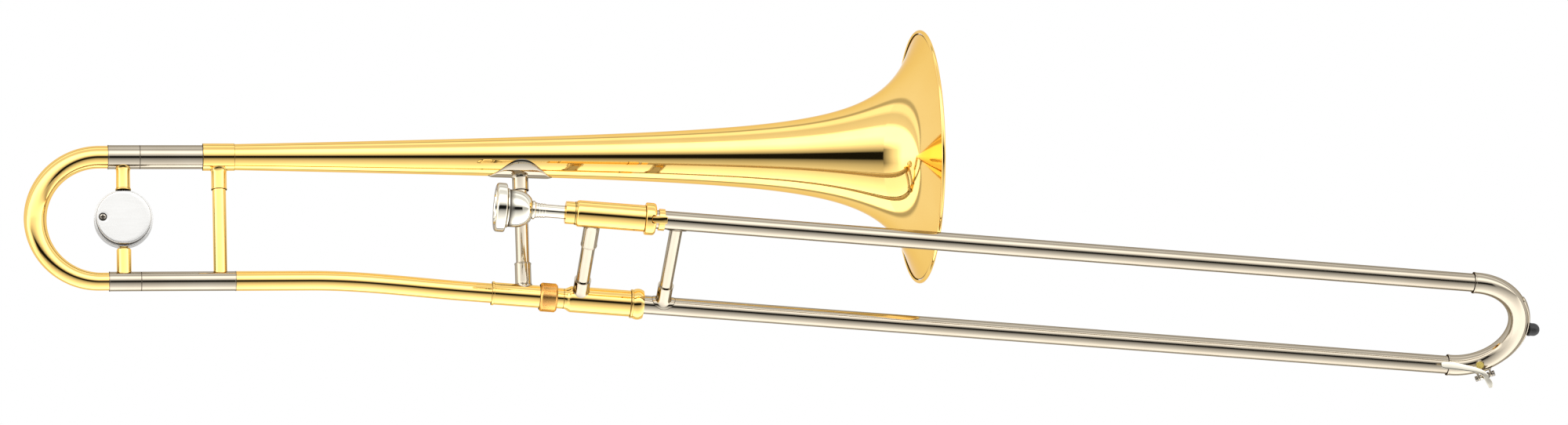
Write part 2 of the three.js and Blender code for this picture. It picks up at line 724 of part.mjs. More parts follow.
function waterKeyMount() {
  const hingeTurn = Math.atan2(KEY_HINGE_DOWN, -KEY_HINGE_OUT);
  const reach = Math.hypot(KEY_HINGE_OUT, KEY_HINGE_DOWN) + KEY_BARREL_RADIUS;
  const TAB_WIDTH = 4;
  const BASE_THICKNESS = 0.9;
  const BASE_SPREAD = THREE.MathUtils.degToRad(26);
  const NIPPLE_BORE = 1.3;
  const tabs = [-KEY_TAB_X, KEY_TAB_X].map((along) =>
    new THREE.BoxGeometry(KEY_TAB_THICKNESS, TAB_WIDTH, reach - KEY_SEAT)
      .translate(along, 0, (reach + KEY_SEAT) / 2)
      .rotateX(hingeTurn),
  );
  const half = KEY_TAB_X + KEY_TAB_THICKNESS;
  const base = saddle(-half, half, KEY_SEAT, BASE_THICKNESS, BASE_SPREAD).rotateX(hingeTurn);
  const holes = rod(-half, half, KEY_PIN_RADIUS + GAP);
  holes.translate(0, -KEY_HINGE_DOWN, -KEY_HINGE_OUT);
  const nippleTop = KEY_SEAT + NIPPLE_HEIGHT;
  const nipple = tube(KEY_SEAT, nippleTop, PAD_RADIUS, NIPPLE_BORE, SMALL_ROUND);
  nipple.rotateY(-Math.PI / 2).rotateX(NIPPLE_TURN);
  keyFrame.add(
    piece("water_key_saddle", cut(joined(base, ...tabs), holes), nickel),
    piece("water_key_nipple", nipple, nickel),
  );
}

function waterKeyPin() {
  const END = KEY_TAB_X + KEY_TAB_THICKNESS / 2 + GAP;
  const HEAD = 2;
  const pin = joined(
    rod(-END, END, KEY_PIN_RADIUS),
    rod(-END - HEAD, -END, KEY_BARREL_RADIUS),
    rod(END, END + HEAD, KEY_BARREL_RADIUS),
  );
  const spring = tube(2, 3.9, 2.3, KEY_PIN_RADIUS + GAP, SMALL_ROUND);
  hingeFrame.add(
    piece("water_key_pin", pin, steel),
    piece("water_key_spring", spring, steel),
  );
}

// The lever: a curved plate that runs back beside the lower tube, with a web down to the
// barrel that turns on the pin, and the cork pad over the nipple.
function waterKeyLever() {
  const FACE_TURN = THREE.MathUtils.degToRad(53); // way the plate faces, from the slide plane
  const HEIGHT = 14.9; // the plate's underside above the slide line
  const THICKNESS = 1.4;
  const outline = new THREE.Shape();
  outline.moveTo(733.3, 3);
  outline.quadraticCurveTo(752, 3.4, 766, 0);
  outline.quadraticCurveTo(773, -3, 776.4, -12);
  outline.quadraticCurveTo(776.4, -15.4, 773.6, -13.4);
  outline.quadraticCurveTo(770, -6, 764, -3.8);
  outline.quadraticCurveTo(752, -2.4, 733.3, -1.6);
  const plate = new THREE.ExtrudeGeometry(outline, {
    depth: THICKNESS,
    curveSegments: 5,
    bevelEnabled: false,
  });
  plate.translate(0, 0, HEIGHT).rotateX(FACE_TURN);
  keyFrame.updateMatrix();
  const barrel = tube(-3.9, 1.7, KEY_BARREL_RADIUS, KEY_PIN_RADIUS + GAP, SMALL_ROUND);
  barrel.translate(0, -KEY_HINGE_DOWN, -KEY_HINGE_OUT).applyMatrix4(keyFrame.matrix);
  const hinge = new THREE.Vector3(-1, -KEY_HINGE_DOWN, -KEY_HINGE_OUT);
  hinge.applyMatrix4(keyFrame.matrix).applyAxisAngle(new THREE.Vector3(1, 0, 0), -FACE_TURN);
  const bottom = hinge.z + KEY_PIN_RADIUS + 3 * GAP;
  const web = new THREE.BoxGeometry(3.2, 2.6, HEIGHT + GAP - bottom);
  web.translate(hinge.x, hinge.y, (HEIGHT + GAP + bottom) / 2).rotateX(FACE_TURN);
  slidePlane.add(piece("water_key_lever", joined(plate, barrel, web), silver));
  const padStart = KEY_SEAT + NIPPLE_HEIGHT + GAP;
  const pad = rod(padStart, padStart + PAD_HEIGHT, PAD_RADIUS);
  pad.rotateY(-Math.PI / 2).rotateX(NIPPLE_TURN);
  keyFrame.add(piece("water_key_cork", pad, cork));
}

bell();
bellLegs();
gooseneck();
neckReceiver();
bellBrace();
rearStay();
tuningBow();
tuningLegs();
counterweight();
slideTenon();
innerSlideTubes();
barrels();
mouthpieceReceiver();
innerBrace();
slideLockRing();
mouthpiece();
outerTubes();
slideLockCollar();
outerBrace();
slideBow();
waterKeyMount();
waterKeyPin();
waterKeyLever();

export default trombone;
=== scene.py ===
import json
import math
import bmesh
import bpy
from mathutils import Matrix, Vector


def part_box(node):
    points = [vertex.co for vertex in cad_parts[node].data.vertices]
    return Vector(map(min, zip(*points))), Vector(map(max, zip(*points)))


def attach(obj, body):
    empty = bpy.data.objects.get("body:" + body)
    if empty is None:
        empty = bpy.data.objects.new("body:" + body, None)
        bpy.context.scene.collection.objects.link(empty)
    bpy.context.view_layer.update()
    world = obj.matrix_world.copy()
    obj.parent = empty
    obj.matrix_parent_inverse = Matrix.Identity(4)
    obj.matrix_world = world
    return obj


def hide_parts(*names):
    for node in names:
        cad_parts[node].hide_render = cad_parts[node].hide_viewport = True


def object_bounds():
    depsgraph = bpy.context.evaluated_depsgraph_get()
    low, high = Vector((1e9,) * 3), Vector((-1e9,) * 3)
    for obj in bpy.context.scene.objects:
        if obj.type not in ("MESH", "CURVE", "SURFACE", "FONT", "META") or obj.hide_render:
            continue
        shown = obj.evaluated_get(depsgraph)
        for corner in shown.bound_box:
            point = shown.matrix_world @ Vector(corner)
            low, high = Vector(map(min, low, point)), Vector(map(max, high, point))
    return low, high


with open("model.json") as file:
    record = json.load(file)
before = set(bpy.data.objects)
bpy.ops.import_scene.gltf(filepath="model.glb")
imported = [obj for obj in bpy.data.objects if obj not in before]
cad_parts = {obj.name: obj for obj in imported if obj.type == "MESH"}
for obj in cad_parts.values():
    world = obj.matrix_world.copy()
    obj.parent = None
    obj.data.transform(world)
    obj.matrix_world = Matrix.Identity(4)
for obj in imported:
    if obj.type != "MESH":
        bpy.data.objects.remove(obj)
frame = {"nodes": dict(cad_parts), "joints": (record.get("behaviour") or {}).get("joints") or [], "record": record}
cad_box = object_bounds()

# A tenor trombone in a light tent. Lengths are millimetres unless a comment says otherwise: the
# frames of reference below turn them into metres.

MM = 0.001
SIDES = 96  # sides of a round tube
BELL_SIDES = 224
ARC = 5  # steps of a rounded corner
CORNER = math.radians(12)  # a turn sharper than this is a corner
SOFT = 0.16  # usual rounding of an edge
SEAM = 0.4  # how far the painted shade reaches from a seam
JOIN = 0.15  # half of the gap that the frame's solids keep to each other
SHADE_MARK = "painted_shade"  # the mesh attribute that marks painted shade: narrow places painted dark and made dull
LEG_WALL = 0.6
BELL_WALL = 0.6
SLIDE_WALL = 0.25


# ---------- Where things are ----------

JOINTS = {joint["name"]: joint for joint in frame["joints"]}
RECORD = frame["record"]
BODY_OF = {node: body for body, nodes in RECORD["behaviour"]["bodies"].items() for node in nodes}
SLOT_OF = {part["node"]: part["material_slot"] for part in RECORD["subparts"]}
X = Vector((1, 0, 0))
Z = Vector((0, 0, 1))


def placed(origin, along, up):
    """A frame in millimetres at a point in metres: its X runs along, and its Z is near up."""
    x = Vector(along).normalized()
    y = Vector(up).cross(x).normalized()
    turn = Matrix((x, y, x.cross(y))).transposed().to_4x4()
    return Matrix.Translation(origin) @ turn @ Matrix.Scale(MM, 4)


def moved(line, x=0.0, y=0.0, z=0.0):
    return line @ Matrix.Translation((x, y, z))


def upright(line, x, z=0.0):
    """A frame on a line whose own X points along the line's Z, and whose Z runs back along it."""
    return moved(line, x, 0, z) @ Matrix.Rotation(-math.pi / 2, 4, "Y")


def centre_of(node):
    low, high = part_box(node)
    return (low + high) / 2


def level_line(node):
    """The frame along +X through the middle of a node, with X counted from the row's origin."""
    middle = centre_of(node)
    return placed((0, middle.y, middle.z), X, Z)


BELL = level_line("bell_rim_bead")
LOWER = level_line("lower_outer_leg")
MIDDLE = placed((0, 0, 0), X, Z)
NECK_POINT = Vector(JOINTS["slide_swivel"]["pos_m"])
SLIDE_WAY = JOINTS["hand_slide"]["axis"]
RISE = Vector(JOINTS["lock_ring_turn"]["pos_m"]) - NECK_POINT
NECK = placed(NECK_POINT, SLIDE_WAY, Z)
SLIDE = placed(NECK_POINT, SLIDE_WAY, RISE)
SPACING = RISE.length / MM
UPPER = moved(SLIDE, 0, 0, SPACING)
LINES = {"upper": UPPER, "lower": SLIDE}


def span(node, line):
    """Start, end and largest radius of a node along a line."""
    back = line.inverted()
    points = [back @ v.co for v in frame["nodes"][node].data.vertices]
    along = [p.x for p in points]
    return min(along), max(along), max(math.hypot(p.y, p.z) for p in points)


# ---------- Making meshes ----------


def straight(along):
    return along, 0.0, 0.0


def rounded(profile, soft=SOFT):
    """The outline with its corners rounded off. Its first and last points stay if they're on the axis."""
    ring = all(radius > 0 for _, radius in profile)
    count = len(profile)
    smooth = []
    for i, point in enumerate(profile):
        here = Vector(point)
        arrive = here - Vector(profile[i - 1])
        leave = Vector(profile[(i + 1) % count]) - here
        at_axis = not ring and i in (0, count - 1)
        if at_axis or arrive.angle(leave, 0) < CORNER:
            smooth.append(here)
            continue
        reach = soft * math.tan(arrive.angle(leave) / 2)
        start = min(reach, 0.42 * arrive.length)
        end = min(reach, 0.42 * leave.length)
        first = here - arrive.normalized() * start
        last = here + leave.normalized() * end
        if arrive.length > 4 * start + 2 * SEAM:
            smooth.append(first - arrive.normalized() * SEAM)
        for step in range(ARC + 1):
            share = step / ARC
            smooth.append(first.lerp(here, share).lerp(here.lerp(last, share), share))
        if leave.length > 4 * end + 2 * SEAM:
            smooth.append(last + leave.normalized() * SEAM)
    return smooth


def formed(line, profile, sides=SIDES, path=straight, radius_of=None, fit=None):
    """Points and faces of a tube or turned shape from [along, radius] pairs. A path bends it in
    the line's XZ plane, radius_of changes the radius with the turn, and fit moves an end point."""
    points = []
    rings = []
    for along, radius in profile:
        x, z, heading = path(along)
        count = sides if radius > 0 else 1
        rings.append([len(points) + i for i in range(count)])
        for i in range(count):
            turn = 2 * math.pi * i / count
            reach = radius_of(along, radius, i) if radius_of else radius
            across = reach * math.cos(turn)
            out = reach * math.sin(turn)
            place = Vector((x - out * math.sin(heading), across, z + out * math.cos(heading)))
            if fit:
                place.x = fit(place)
            points.append(line @ place)
    pairs = list(zip(rings, rings[1:]))
    if all(len(ring) > 1 for ring in rings):
        pairs.append((rings[-1], rings[0]))
    faces = []
    for first, second in pairs:
        for i in range(sides):
            j = (i + 1) % sides
            a, b = first[i % len(first)], first[j % len(first)]
            c, d = second[j % len(second)], second[i % len(second)]
            faces.append([p for k, p in enumerate((a, b, c, d)) if p not in (a, b, c, d)[:k]])
    return points, [face for face in faces if len(face) > 2]


def grid_faces(rows, columns, offset=0, closed=False):
    """Faces between the points of a grid that were added row by row."""
    faces = []
    for row in range(rows - 1):
        for column in range(columns if closed else columns - 1):
            after = (column + 1) % columns
            low = offset + row * columns
            faces.append([low + column, low + after, low + columns + after, low + columns + column])
    return faces


def merged(*shapes):
    points = []
    faces = []
    for shape_points, shape_faces in shapes:
        faces += [[p + len(points) for p in face] for face in shape_faces]
        points += shape_points
    return points, faces


def seams(line, *places, width=SEAM, unshaded_within=0.0):
    """Marks how much painted shade a point gets, darkening the joins between parts: fully at these
    places along the line, then less and less. Points nearer to the line than the given distance get none."""
    back = line.inverted()

    def mark(point):
        place = back @ point
        if math.hypot(place.y, place.z) < unshaded_within:
            return 0.0
        return max(max(0.0, 1 - abs(place.x - seam) / width) for seam in places)

    return mark


def show(node, shape, with_painted_shade=None):
    """Makes the fine mesh that stands for a node: it rides on the node's body in its finish."""
    points, faces = shape
    mesh = bpy.data.meshes.new("fine_" + node)
    mesh.from_pydata(points, [], faces)
    solid = bmesh.new()
    solid.from_mesh(mesh)
    bmesh.ops.remove_doubles(solid, verts=solid.verts, dist=1e-7)
    bmesh.ops.recalc_face_normals(solid, faces=solid.faces)
    solid.to_mesh(mesh)
    solid.free()
    mesh.shade_smooth()
    mesh.set_sharp_from_angle(angle=math.radians(32))
    # the painted shade mark, which the finish turns into dark, dull places
    marks = mesh.attributes.new(SHADE_MARK, "FLOAT", "POINT")
    if with_painted_shade:
        marks.data.foreach_set("value", [with_painted_shade(v.co) for v in mesh.vertices])
    piece = bpy.data.objects.new("fine_" + node, mesh)
    bpy.context.scene.collection.objects.link(piece)
    mesh.materials.append(FINISH[SLOT_OF[node]])
    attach(piece, BODY_OF[node])
    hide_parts(node)
    return piece


def tube(start, end, radius, bore):
    return [(start, bore), (start, radius), (end, radius), (end, bore)]


def sleeve(node, line, wall=LEG_WALL, start_ring=0.0, end_ring=0.0, soft=SOFT):
    """A plain tube that reaches its neighbours, with a thin raised ring at one end or both."""
    start, end, radius = span(node, line)
    start -= JOIN
    end += JOIN
    RING = 0.9  # width of a ring
    profile = [(start, radius - wall)]
    if start_ring:
        profile += [(start, radius + start_ring), (start + RING, radius + start_ring)]
        profile += [(start + RING, radius)]
    else:
        profile += [(start, radius)]
    if end_ring:
        profile += [(end - RING, radius), (end - RING, radius + end_ring)]
    profile += [(end, radius + end_ring), (end, radius - wall)]
    show(node, formed(line, rounded(profile, soft)), seams(line, start, end))


def coped(line_start, line_end, foot=None, head=None):
    """Fits a post's ends onto the round tubes that it stands between. foot and head are those
    tubes' radii; they run along the post's Z, and the ends follow their roundness in Y."""
    ZONE = 3.0  # how much of the post's end follows the tube

    def fit(place):
        for tube_radius, end, way in ((foot, line_start, -1), (head, line_end, 1)):
            if tube_radius is None:
                continue
            share = max(0.0, 1 - abs(place.x - end) / ZONE)
            across = min(abs(place.y), tube_radius)
            drop = tube_radius - math.sqrt(tube_radius**2 - across**2)
            place.x += way * share * drop
        return place.x

    return fit


# ---------- Finishes ----------


def noise(tree, place, scale, detail):
    made = tree.nodes.new("ShaderNodeTexNoise")
    made.inputs["Scale"].default_value = scale
    made.inputs["Detail"].default_value = detail
    tree.links.new(place, made.inputs["Vector"])
    return made.outputs["Fac"]


def spread(tree, value, low, high):
    """The value from a noise, stretched to run from low to high."""
    made = tree.nodes.new("ShaderNodeMapRange")
    made.inputs["From Min"].default_value = 0.3
    made.inputs["From Max"].default_value = 0.7
    made.inputs["To Min"].default_value = low
    made.inputs["To Max"].default_value = high
    tree.links.new(value, made.inputs["Value"])
    return made.outputs["Result"]


def mixed(tree, share, first, second, way="MIX"):
    made = tree.nodes.new("ShaderNodeMix")
    made.data_type = "RGBA"
    made.blend_type = way
    made.clamp_factor = True
    if isinstance(share, float):
        made.inputs["Factor"].default_value = share
    else:
        tree.links.new(share, made.inputs["Factor"])
    tree.links.new(first, made.inputs["A"])
    tree.links.new(second, made.inputs["B"])
    return made.outputs["Result"]


def blended(tree, value, first, second):
    made = tree.nodes.new("ShaderNodeMix")
    made.data_type = "RGBA"
    made.inputs["A"].default_value = (*first, 1)
    made.inputs["B"].default_value = (*second, 1)
    tree.links.new(value, made.inputs["Factor"])
    return made.outputs["Result"]


def coordinates(tree, stretch=(1, 1, 1)):
    """The place on the object, stretched along its axes."""
    place = tree.nodes.new("ShaderNodeTexCoord")
    mapping = tree.nodes.new("ShaderNodeMapping")
    mapping.inputs["Scale"].default_value = stretch
    tree.links.new(place.outputs["Object"], mapping.inputs["Vector"])
    return mapping.outputs["Vector"]


def bumped(tree, shader, value, strength, distance):
    bump = tree.nodes.new("ShaderNodeBump")
    bump.inputs["Strength"].default_value = strength
    bump.inputs["Distance"].default_value = distance
    tree.links.new(value, bump.inputs["Height"])
    tree.links.new(bump.outputs["Normal"], shader.inputs["Normal"])


def finish(name):
    made = bpy.data.materials.new(name)
    made.use_nodes = True
    return made, made.node_tree, made.node_tree.nodes["Principled BSDF"]


def metal(name, colour, shade, smooth, rough, grain, grain_scale, edge):
    """A metal with a slight change of tone, a polish that varies, and fine drawing lines. It's dull and
    painted dark where the mesh is marked with painted shade, in the narrow gaps between parts."""
    made, tree, shader = finish(name)
    shader.inputs["Metallic"].default_value = 1.0
    shader.inputs["Specular Tint"].default_value = (*edge, 1)
    cloud = noise(tree, coordinates(tree), 26.0, 3.0)
    lines = noise(tree, coordinates(tree, (0.05, 1, 1)), grain_scale, 2.0)
    tone = blended(tree, spread(tree, cloud, 0, 1), colour, shade)
    painted_shade = tree.nodes.new("ShaderNodeAttribute")
    painted_shade.attribute_name = SHADE_MARK
    # painted shade: a near-black brown laid into the base colour where the mesh is marked
    painted_shade_colour = tree.nodes.new("ShaderNodeRGB")
    painted_shade_colour.outputs[0].default_value = (0.035, 0.022, 0.012, 1)
    with_painted_shade = mixed(tree, painted_shade.outputs["Fac"], tone, painted_shade_colour.outputs[0])
    tree.links.new(with_painted_shade, shader.inputs["Base Color"])
    polish = tree.nodes.new("ShaderNodeMath")
    polish.operation = "MULTIPLY_ADD"
    polish.inputs[1].default_value = 0.5
    tree.links.new(painted_shade.outputs["Fac"], polish.inputs[0])
    tree.links.new(spread(tree, lines, smooth, rough), polish.inputs[2])
    tree.links.new(polish.outputs[0], shader.inputs["Roughness"])
    bumped(tree, shader, lines, grain, 0.00005)
    return made


def soft_solid(name, colour, shade, scale, roughness, strength, distance):
    """A dull material with a grain: cork or rubber."""
    made, tree, shader = finish(name)
    shader.inputs["Roughness"].default_value = roughness
    grain = noise(tree, coordinates(tree), scale, 6.0)
    tone = blended(tree, spread(tree, grain, 0, 1), colour, shade)
    tree.links.new(tone, shader.inputs["Base Color"])
    bumped(tree, shader, grain, strength, distance)
    return made


FINISH = {
    "lacquered_brass": metal(
        "lacquered_brass", (0.97, 0.665, 0.225), (0.95, 0.63, 0.20), 0.03, 0.06, 0.03, 900,
        (0.88, 0.72, 0.45),
    ),
    "nickel_silver": metal(
        "nickel_silver", (0.50, 0.445, 0.355), (0.47, 0.41, 0.32), 0.04, 0.09, 0.05, 900,
        (0.45, 0.4, 0.33),
    ),
    "silver_plate": metal(
        "silver_plate", (0.86, 0.82, 0.70), (0.81, 0.76, 0.64), 0.03, 0.07, 0.02, 700, (0.35, 0.3, 0.25)
    ),
    "satin_nickel": metal(
        "satin_nickel", (0.64, 0.635, 0.62), (0.60, 0.595, 0.58), 0.28, 0.36, 0.008, 1500, (0.8, 0.8, 0.8)
    ),
    "copper_brass": metal(
        "copper_brass", (0.84, 0.46, 0.14), (0.79, 0.41, 0.11), 0.24, 0.34, 0.01, 1500, (0.8, 0.5, 0.2)
    ),
    "steel": metal(
        "steel", (0.36, 0.33, 0.28), (0.30, 0.27, 0.23), 0.12, 0.25, 0.08, 1200, (0.4, 0.4, 0.4)
    ),
    "cork": soft_solid("cork", (0.62, 0.50, 0.12), (0.45, 0.33, 0.08), 1800, 0.85, 0.5, 0.0002),
    "rubber": soft_solid("rubber", (0.012,) * 3, (0.02,) * 3, 2600, 0.45, 0.25, 0.0001),
}


# ---------- Bell section ----------

BELL_JOINT_X = 60  # where the spun flare meets the drawn tail


def horn_radius(x):
    """Outer radius of the bell: a slow cone with a flare that grows without limit past the rim."""
    CONE_RADIUS = 12.05
    CONE_SLOPE = 0.0166
    FLARE_RADIUS = 21.6
    FLARE_END = 357.6
    FLARE_POWER = -1.42
    flare = FLARE_RADIUS * ((FLARE_END - x) / 100) ** FLARE_POWER
    return CONE_RADIUS + CONE_SLOPE * x + flare


def horn(start, end, count, inner, outer):
    """Closed outline of a shell of the horn, finer towards the rim."""
    shares = [math.sin(i / count * math.pi / 2) for i in range(count + 1)]
    places = [start + (end - start) * share for share in shares]
    outside = [(x, horn_radius(x) + outer) for x in places]
    inside = [(x, horn_radius(x) + inner) for x in reversed(places)]
    return outside + inside


def bell():
    start = span("bell_tail", BELL)[0] - JOIN
    low, high, outer = span("bell_rim_bead", BELL)
    bead = (high - low) / 2
    rim = (high + low) / 2
    show("bell_tail", formed(BELL, horn(start, BELL_JOINT_X, 60, -BELL_WALL, 0), BELL_SIDES))
    flare = horn(BELL_JOINT_X, rim - 0.4 * bead, 150, -BELL_WALL, 0)
    back = BELL.inverted()

    def in_gap(point):
        """Painted shade behind the rolled rim, on the outside of the flare."""
        place = back @ point
        radius = math.hypot(place.y, place.z)
        return float(radius > outer - 2 * bead - 0.5 and radius > horn_radius(place.x) - 0.3)

    # painted shade inside the curl of the rolled rim
    def in_roll(point):
        place = back @ point
        across = math.hypot(place.y, place.z) - outer + bead
        return float(math.hypot(place.x - rim, across) < bead - 0.2)

    show("bell_flare", formed(BELL, flare, BELL_SIDES), in_gap)
    show("bell_rim_bead", formed(BELL, rim_roll(rim, bead, outer), BELL_SIDES), in_roll)


def rim_roll(rim, bead, outer):
    """Outline of the rolled rim: the sheet curls out and back, and its edge stays clear of the
    flare, so a thin gap runs round behind the rim, where painted shade makes it dark."""
    SHEET = 0.5
    middle = outer - bead
    OPENING = 132  # degrees from the outward direction, backwards, where the curl ends
    turns = [math.radians(120 - (120 + OPENING) * i / 26) for i in range(27)]
    outside = [(rim + bead * math.sin(t), middle + bead * math.cos(t)) for t in turns]
    within = bead - SHEET
    inside = [(rim + within * math.sin(t), middle + within * math.cos(t)) for t in reversed(turns)]
    return outside + inside


def bell_legs():
    RING = 0.16
    sleeve("bell_tail_ferrule", BELL, 2.0)
    sleeve("upper_outer_leg", BELL)
    sleeve("lower_outer_leg", LOWER, end_ring=RING)
    sleeve("upper_bow_ferrule", BELL, start_ring=RING)
    sleeve("lower_bow_ferrule", LOWER, start_ring=RING)
    sleeve("upper_inner_leg", BELL)
    sleeve("lower_inner_leg", LOWER)


def gooseneck():
    """A bent tube that leaves the lower leg level and comes onto the neck line."""
    start = span("lower_outer_leg", LOWER)[1] + JOIN
    end = NECK @ Vector((span("neck_receiver", NECK)[0], 0, 0))
    slope = SLIDE_WAY[2] / SLIDE_WAY[0]
    level = (LOWER @ Vector((0, 0, 0))).z / MM
    BEND_START = -165
    BEND_END = -45
    RADIUS = 7.6
    BORE = 7.0

    def sloping(x):
        return NECK_POINT.z / MM + slope * x

    def path(x):
        share = min(1, max(0, (x - BEND_START) / (BEND_END - BEND_START)))
        third = (BEND_END - BEND_START) / 3
        low, high = sloping(BEND_END - third), sloping(BEND_END)
        rest = 1 - share
        z = rest**2 * (rest + 3 * share) * level + 3 * rest * share**2 * low + share**3 * high
        fall = 6 * rest * share * (low - level) + 3 * share**2 * (high - low)
        if x > BEND_END:
            return x, sloping(x), math.atan(slope)
        return x, z, math.atan(fall / (BEND_END - BEND_START))

    COUNT = 70
    places = [start + (end.x / MM - start) * i / COUNT for i in range(COUNT + 1)]
    outline = [(x, RADIUS) for x in places] + [(x, BORE) for x in reversed(places)]
    show("gooseneck", formed(MIDDLE, outline, path=path))


def neck_joint():
    start, end, ring = span("neck_receiver", NECK)
    RADIUS = 8.7
    BORE = 7.9
    RING_WIDTH = 1.8
    receiver = [(start, BORE), (start, ring), (start + RING_WIDTH, ring), (start + RING_WIDTH, RADIUS)]
    receiver += [(end, RADIUS), (end, BORE)]
    marks = seams(NECK, start, start + RING_WIDTH, end, width=0.12)
    show("neck_receiver", formed(NECK, rounded(receiver, 0.25)), marks)
    low, high, outer = span("neck_lock_nut", NECK)
    CHAMFER = 1.5
    KNURLS = 84
    KNURL_DEPTH = 0.06
    bore = RADIUS + 0.05
    face = outer - 1.3
    nut = [(low, bore), (low, face), (low + CHAMFER, outer), (high - CHAMFER, outer)]
    nut += [(high, face), (high, bore)]
    band = (low + CHAMFER + 0.4, high - CHAMFER - 0.4)

    def knurled(along, radius, i):
        cut = KNURL_DEPTH if band[0] <= along <= band[1] and i % 2 and radius > face else 0
        return radius - cut

    outline = rounded(nut, 0.35)
    top = next(i for i, (along, _) in enumerate(outline) if along > band[0])
    steps = [(band[0], outer), (band[0] + 0.3, outer), (band[1] - 0.3, outer), (band[1], outer)]
    outline[top:top] = [Vector(point) for point in steps]
    nut = formed(NECK, outline, 2 * KNURLS, radius_of=knurled)
    show("neck_lock_nut", nut, seams(NECK, low, high, width=0.3))


# ---------- Braces and stays ----------


def socket(start, end, radius, ring_at, flare=0.0):
    """Outline of a post's socket: a thin ring at its mouth and, at its root, a soft flare."""
    RING = 1.0
    RAISED = 0.22
    way = 1 if ring_at == "start" else -1
    mouth, root = (start, end) if way > 0 else (end, start)
    profile = [(mouth, 0), (mouth, radius + RAISED), (mouth + way * RING, radius + RAISED)]
    profile += [(mouth + way * RING, radius)]
    if flare:
        STEPS = 6
        LENGTH = 2.6
        for i in range(STEPS + 1):
            share = i / STEPS
            out = flare * (1 - math.sqrt(1 - share**2))
            profile.append((root - way * LENGTH * (1 - share), radius + out))
    else:
        profile.append((root, radius))
    profile.append((root, 0))
    return profile


def bell_brace():
    start, end, _ = span("bell_brace_flange", BELL)
    reach = (end - start) / 2
    PEAK = 5.4  # below the bell axis, the height of the flange's side points
    THICKNESS = 0.9
    EDGE = 0.35
    ROWS = 60
    COLUMNS = 48
    points = []
    for layer in (1, 0):
        for row in range(ROWS + 1):
            share = 2 * row / ROWS - 1
            x = reach * share
            surface = horn_radius(x) + 0.05
            ogee = (1 - math.cos(math.pi * abs(share))) / 2
            height = PEAK + (surface - PEAK) * ogee
            widest = math.acos(min(0.9995, height / surface))
            for column in range(COLUMNS + 1):
                side = 2 * column / COLUMNS - 1
                rim = max(abs(share), abs(side)) ** 14
                out = surface + layer * (THICKNESS + (EDGE - THICKNESS) * rim)
                turn = side * widest
                place = Vector((x, out * math.sin(turn), -out * math.cos(turn)))
                points.append(BELL @ place)
    shape = points, shell_faces(ROWS + 1, COLUMNS + 1)
    show("bell_brace_flange", shape)
    post = upright(MIDDLE, 0)
    neck_radius = span("neck_receiver", NECK)[2]
    low, high, radius = span("bell_brace_upper_socket", post)
    bell_bottom = (BELL @ Vector((0, 0, -horn_radius(0)))).z / MM
    profile = rounded(socket(low, bell_bottom, radius, "start", flare=2.4), 0.2)
    fit = coped(low, bell_bottom, head=horn_radius(0))
    show("bell_brace_upper_socket", formed(post, profile, fit=fit), seams(post, low, bell_bottom))
    low, high, radius = span("bell_brace_lower_socket", post)
    foot = NECK_POINT.z / MM + neck_radius - 0.9
    profile = rounded(socket(foot, high, radius, "end", flare=0.7), 0.2)
    fit = coped(foot, high, foot=neck_radius)
    show("bell_brace_lower_socket", formed(post, profile, fit=fit), seams(post, foot, high))
    low, high, radius = span("bell_brace_tube", post)
    plain = [(low - 1, 0), (low - 1, radius), (high + 1, radius), (high + 1, 0)]
    show("bell_brace_tube", formed(post, plain))


def shell_faces(rows, columns):
    """Faces of a plate made of two grids, the upper one first, with its edges closed."""
    count = rows * columns
    faces = grid_faces(rows, columns) + grid_faces(rows, columns, count)
    edge = [column for column in range(columns)]
    edge += [row * columns + columns - 1 for row in range(1, rows)]
    edge += [(rows - 1) * columns + column for column in range(columns - 2, -1, -1)]
    edge += [row * columns for row in range(rows - 2, 0, -1)]
    for a, b in zip(edge, edge[1:] + edge[:1]):
        faces.append([a, b, b + count, a + count])
    return faces


def rear_stay():
    middle = centre_of("rear_stay_socket")
    post = upright(MIDDLE, middle.x / MM)
    ferrule = span("bell_tail_ferrule", BELL)[2]
    leg = span("lower_outer_leg", LOWER)[2]
    low, high, radius = span("rear_stay_socket", post)
    top = (BELL @ Vector((0, 0, -ferrule))).z / MM
    profile = rounded(socket(low, top, radius, "start", flare=0.8), 0.2)
    shape = formed(post, profile, fit=coped(low, top, head=ferrule))
    show("rear_stay_socket", shape, seams(post, low, top))
    low, high, radius = span("rear_stay_tube", post)
    foot = (LOWER @ Vector((0, 0, leg))).z / MM
    profile = [(foot, 0), (foot, radius), (high + 1, radius), (high + 1, 0)]
    shape = formed(post, rounded(profile), fit=coped(foot, high, foot=leg))
    show("rear_stay_tube", shape, seams(post, foot))


# ---------- Tuning slide ----------


def u_bend(centre, bend, side):
    """Path of a half circle of tube, counted from the start of the bend at its lower leg."""
    arc = math.pi * bend

    def path(along):
        turn = min(max(along, 0), arc) / bend
        lead = max(-along, along - arc, 0)
        x = centre + side * (bend * math.sin(turn) - lead)
        return x, -bend * math.cos(turn), turn if side > 0 else math.pi - turn

    return path, arc


def tuning_bow():
    low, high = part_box("tuning_bow")
    ferrule = span("upper_bow_ferrule", BELL)[0]
    bend = (BELL.translation.z - LOWER.translation.z) / MM / 2
    thick = (high.y - low.y) / MM / 2
    thin = (LOWER.translation.z - low.z) / MM
    WALL = 0.8
    centre = low.x / MM + thick + bend
    path, arc = u_bend(centre, bend, -1)
    lead = ferrule - centre
    COUNT = 110

    def radius_at(along):
        return thin + (thick - thin) * min(1, max(0, along / (arc / 2)))

    places = [-lead + (arc + 2 * lead) * i / COUNT for i in range(COUNT + 1)]
    outline = [(a, radius_at(a)) for a in places]
    outline += [(a, radius_at(a) - WALL) for a in reversed(places)]
    line = moved(LOWER, 0, 0, bend)
    show("tuning_bow", formed(line, outline, path=path))


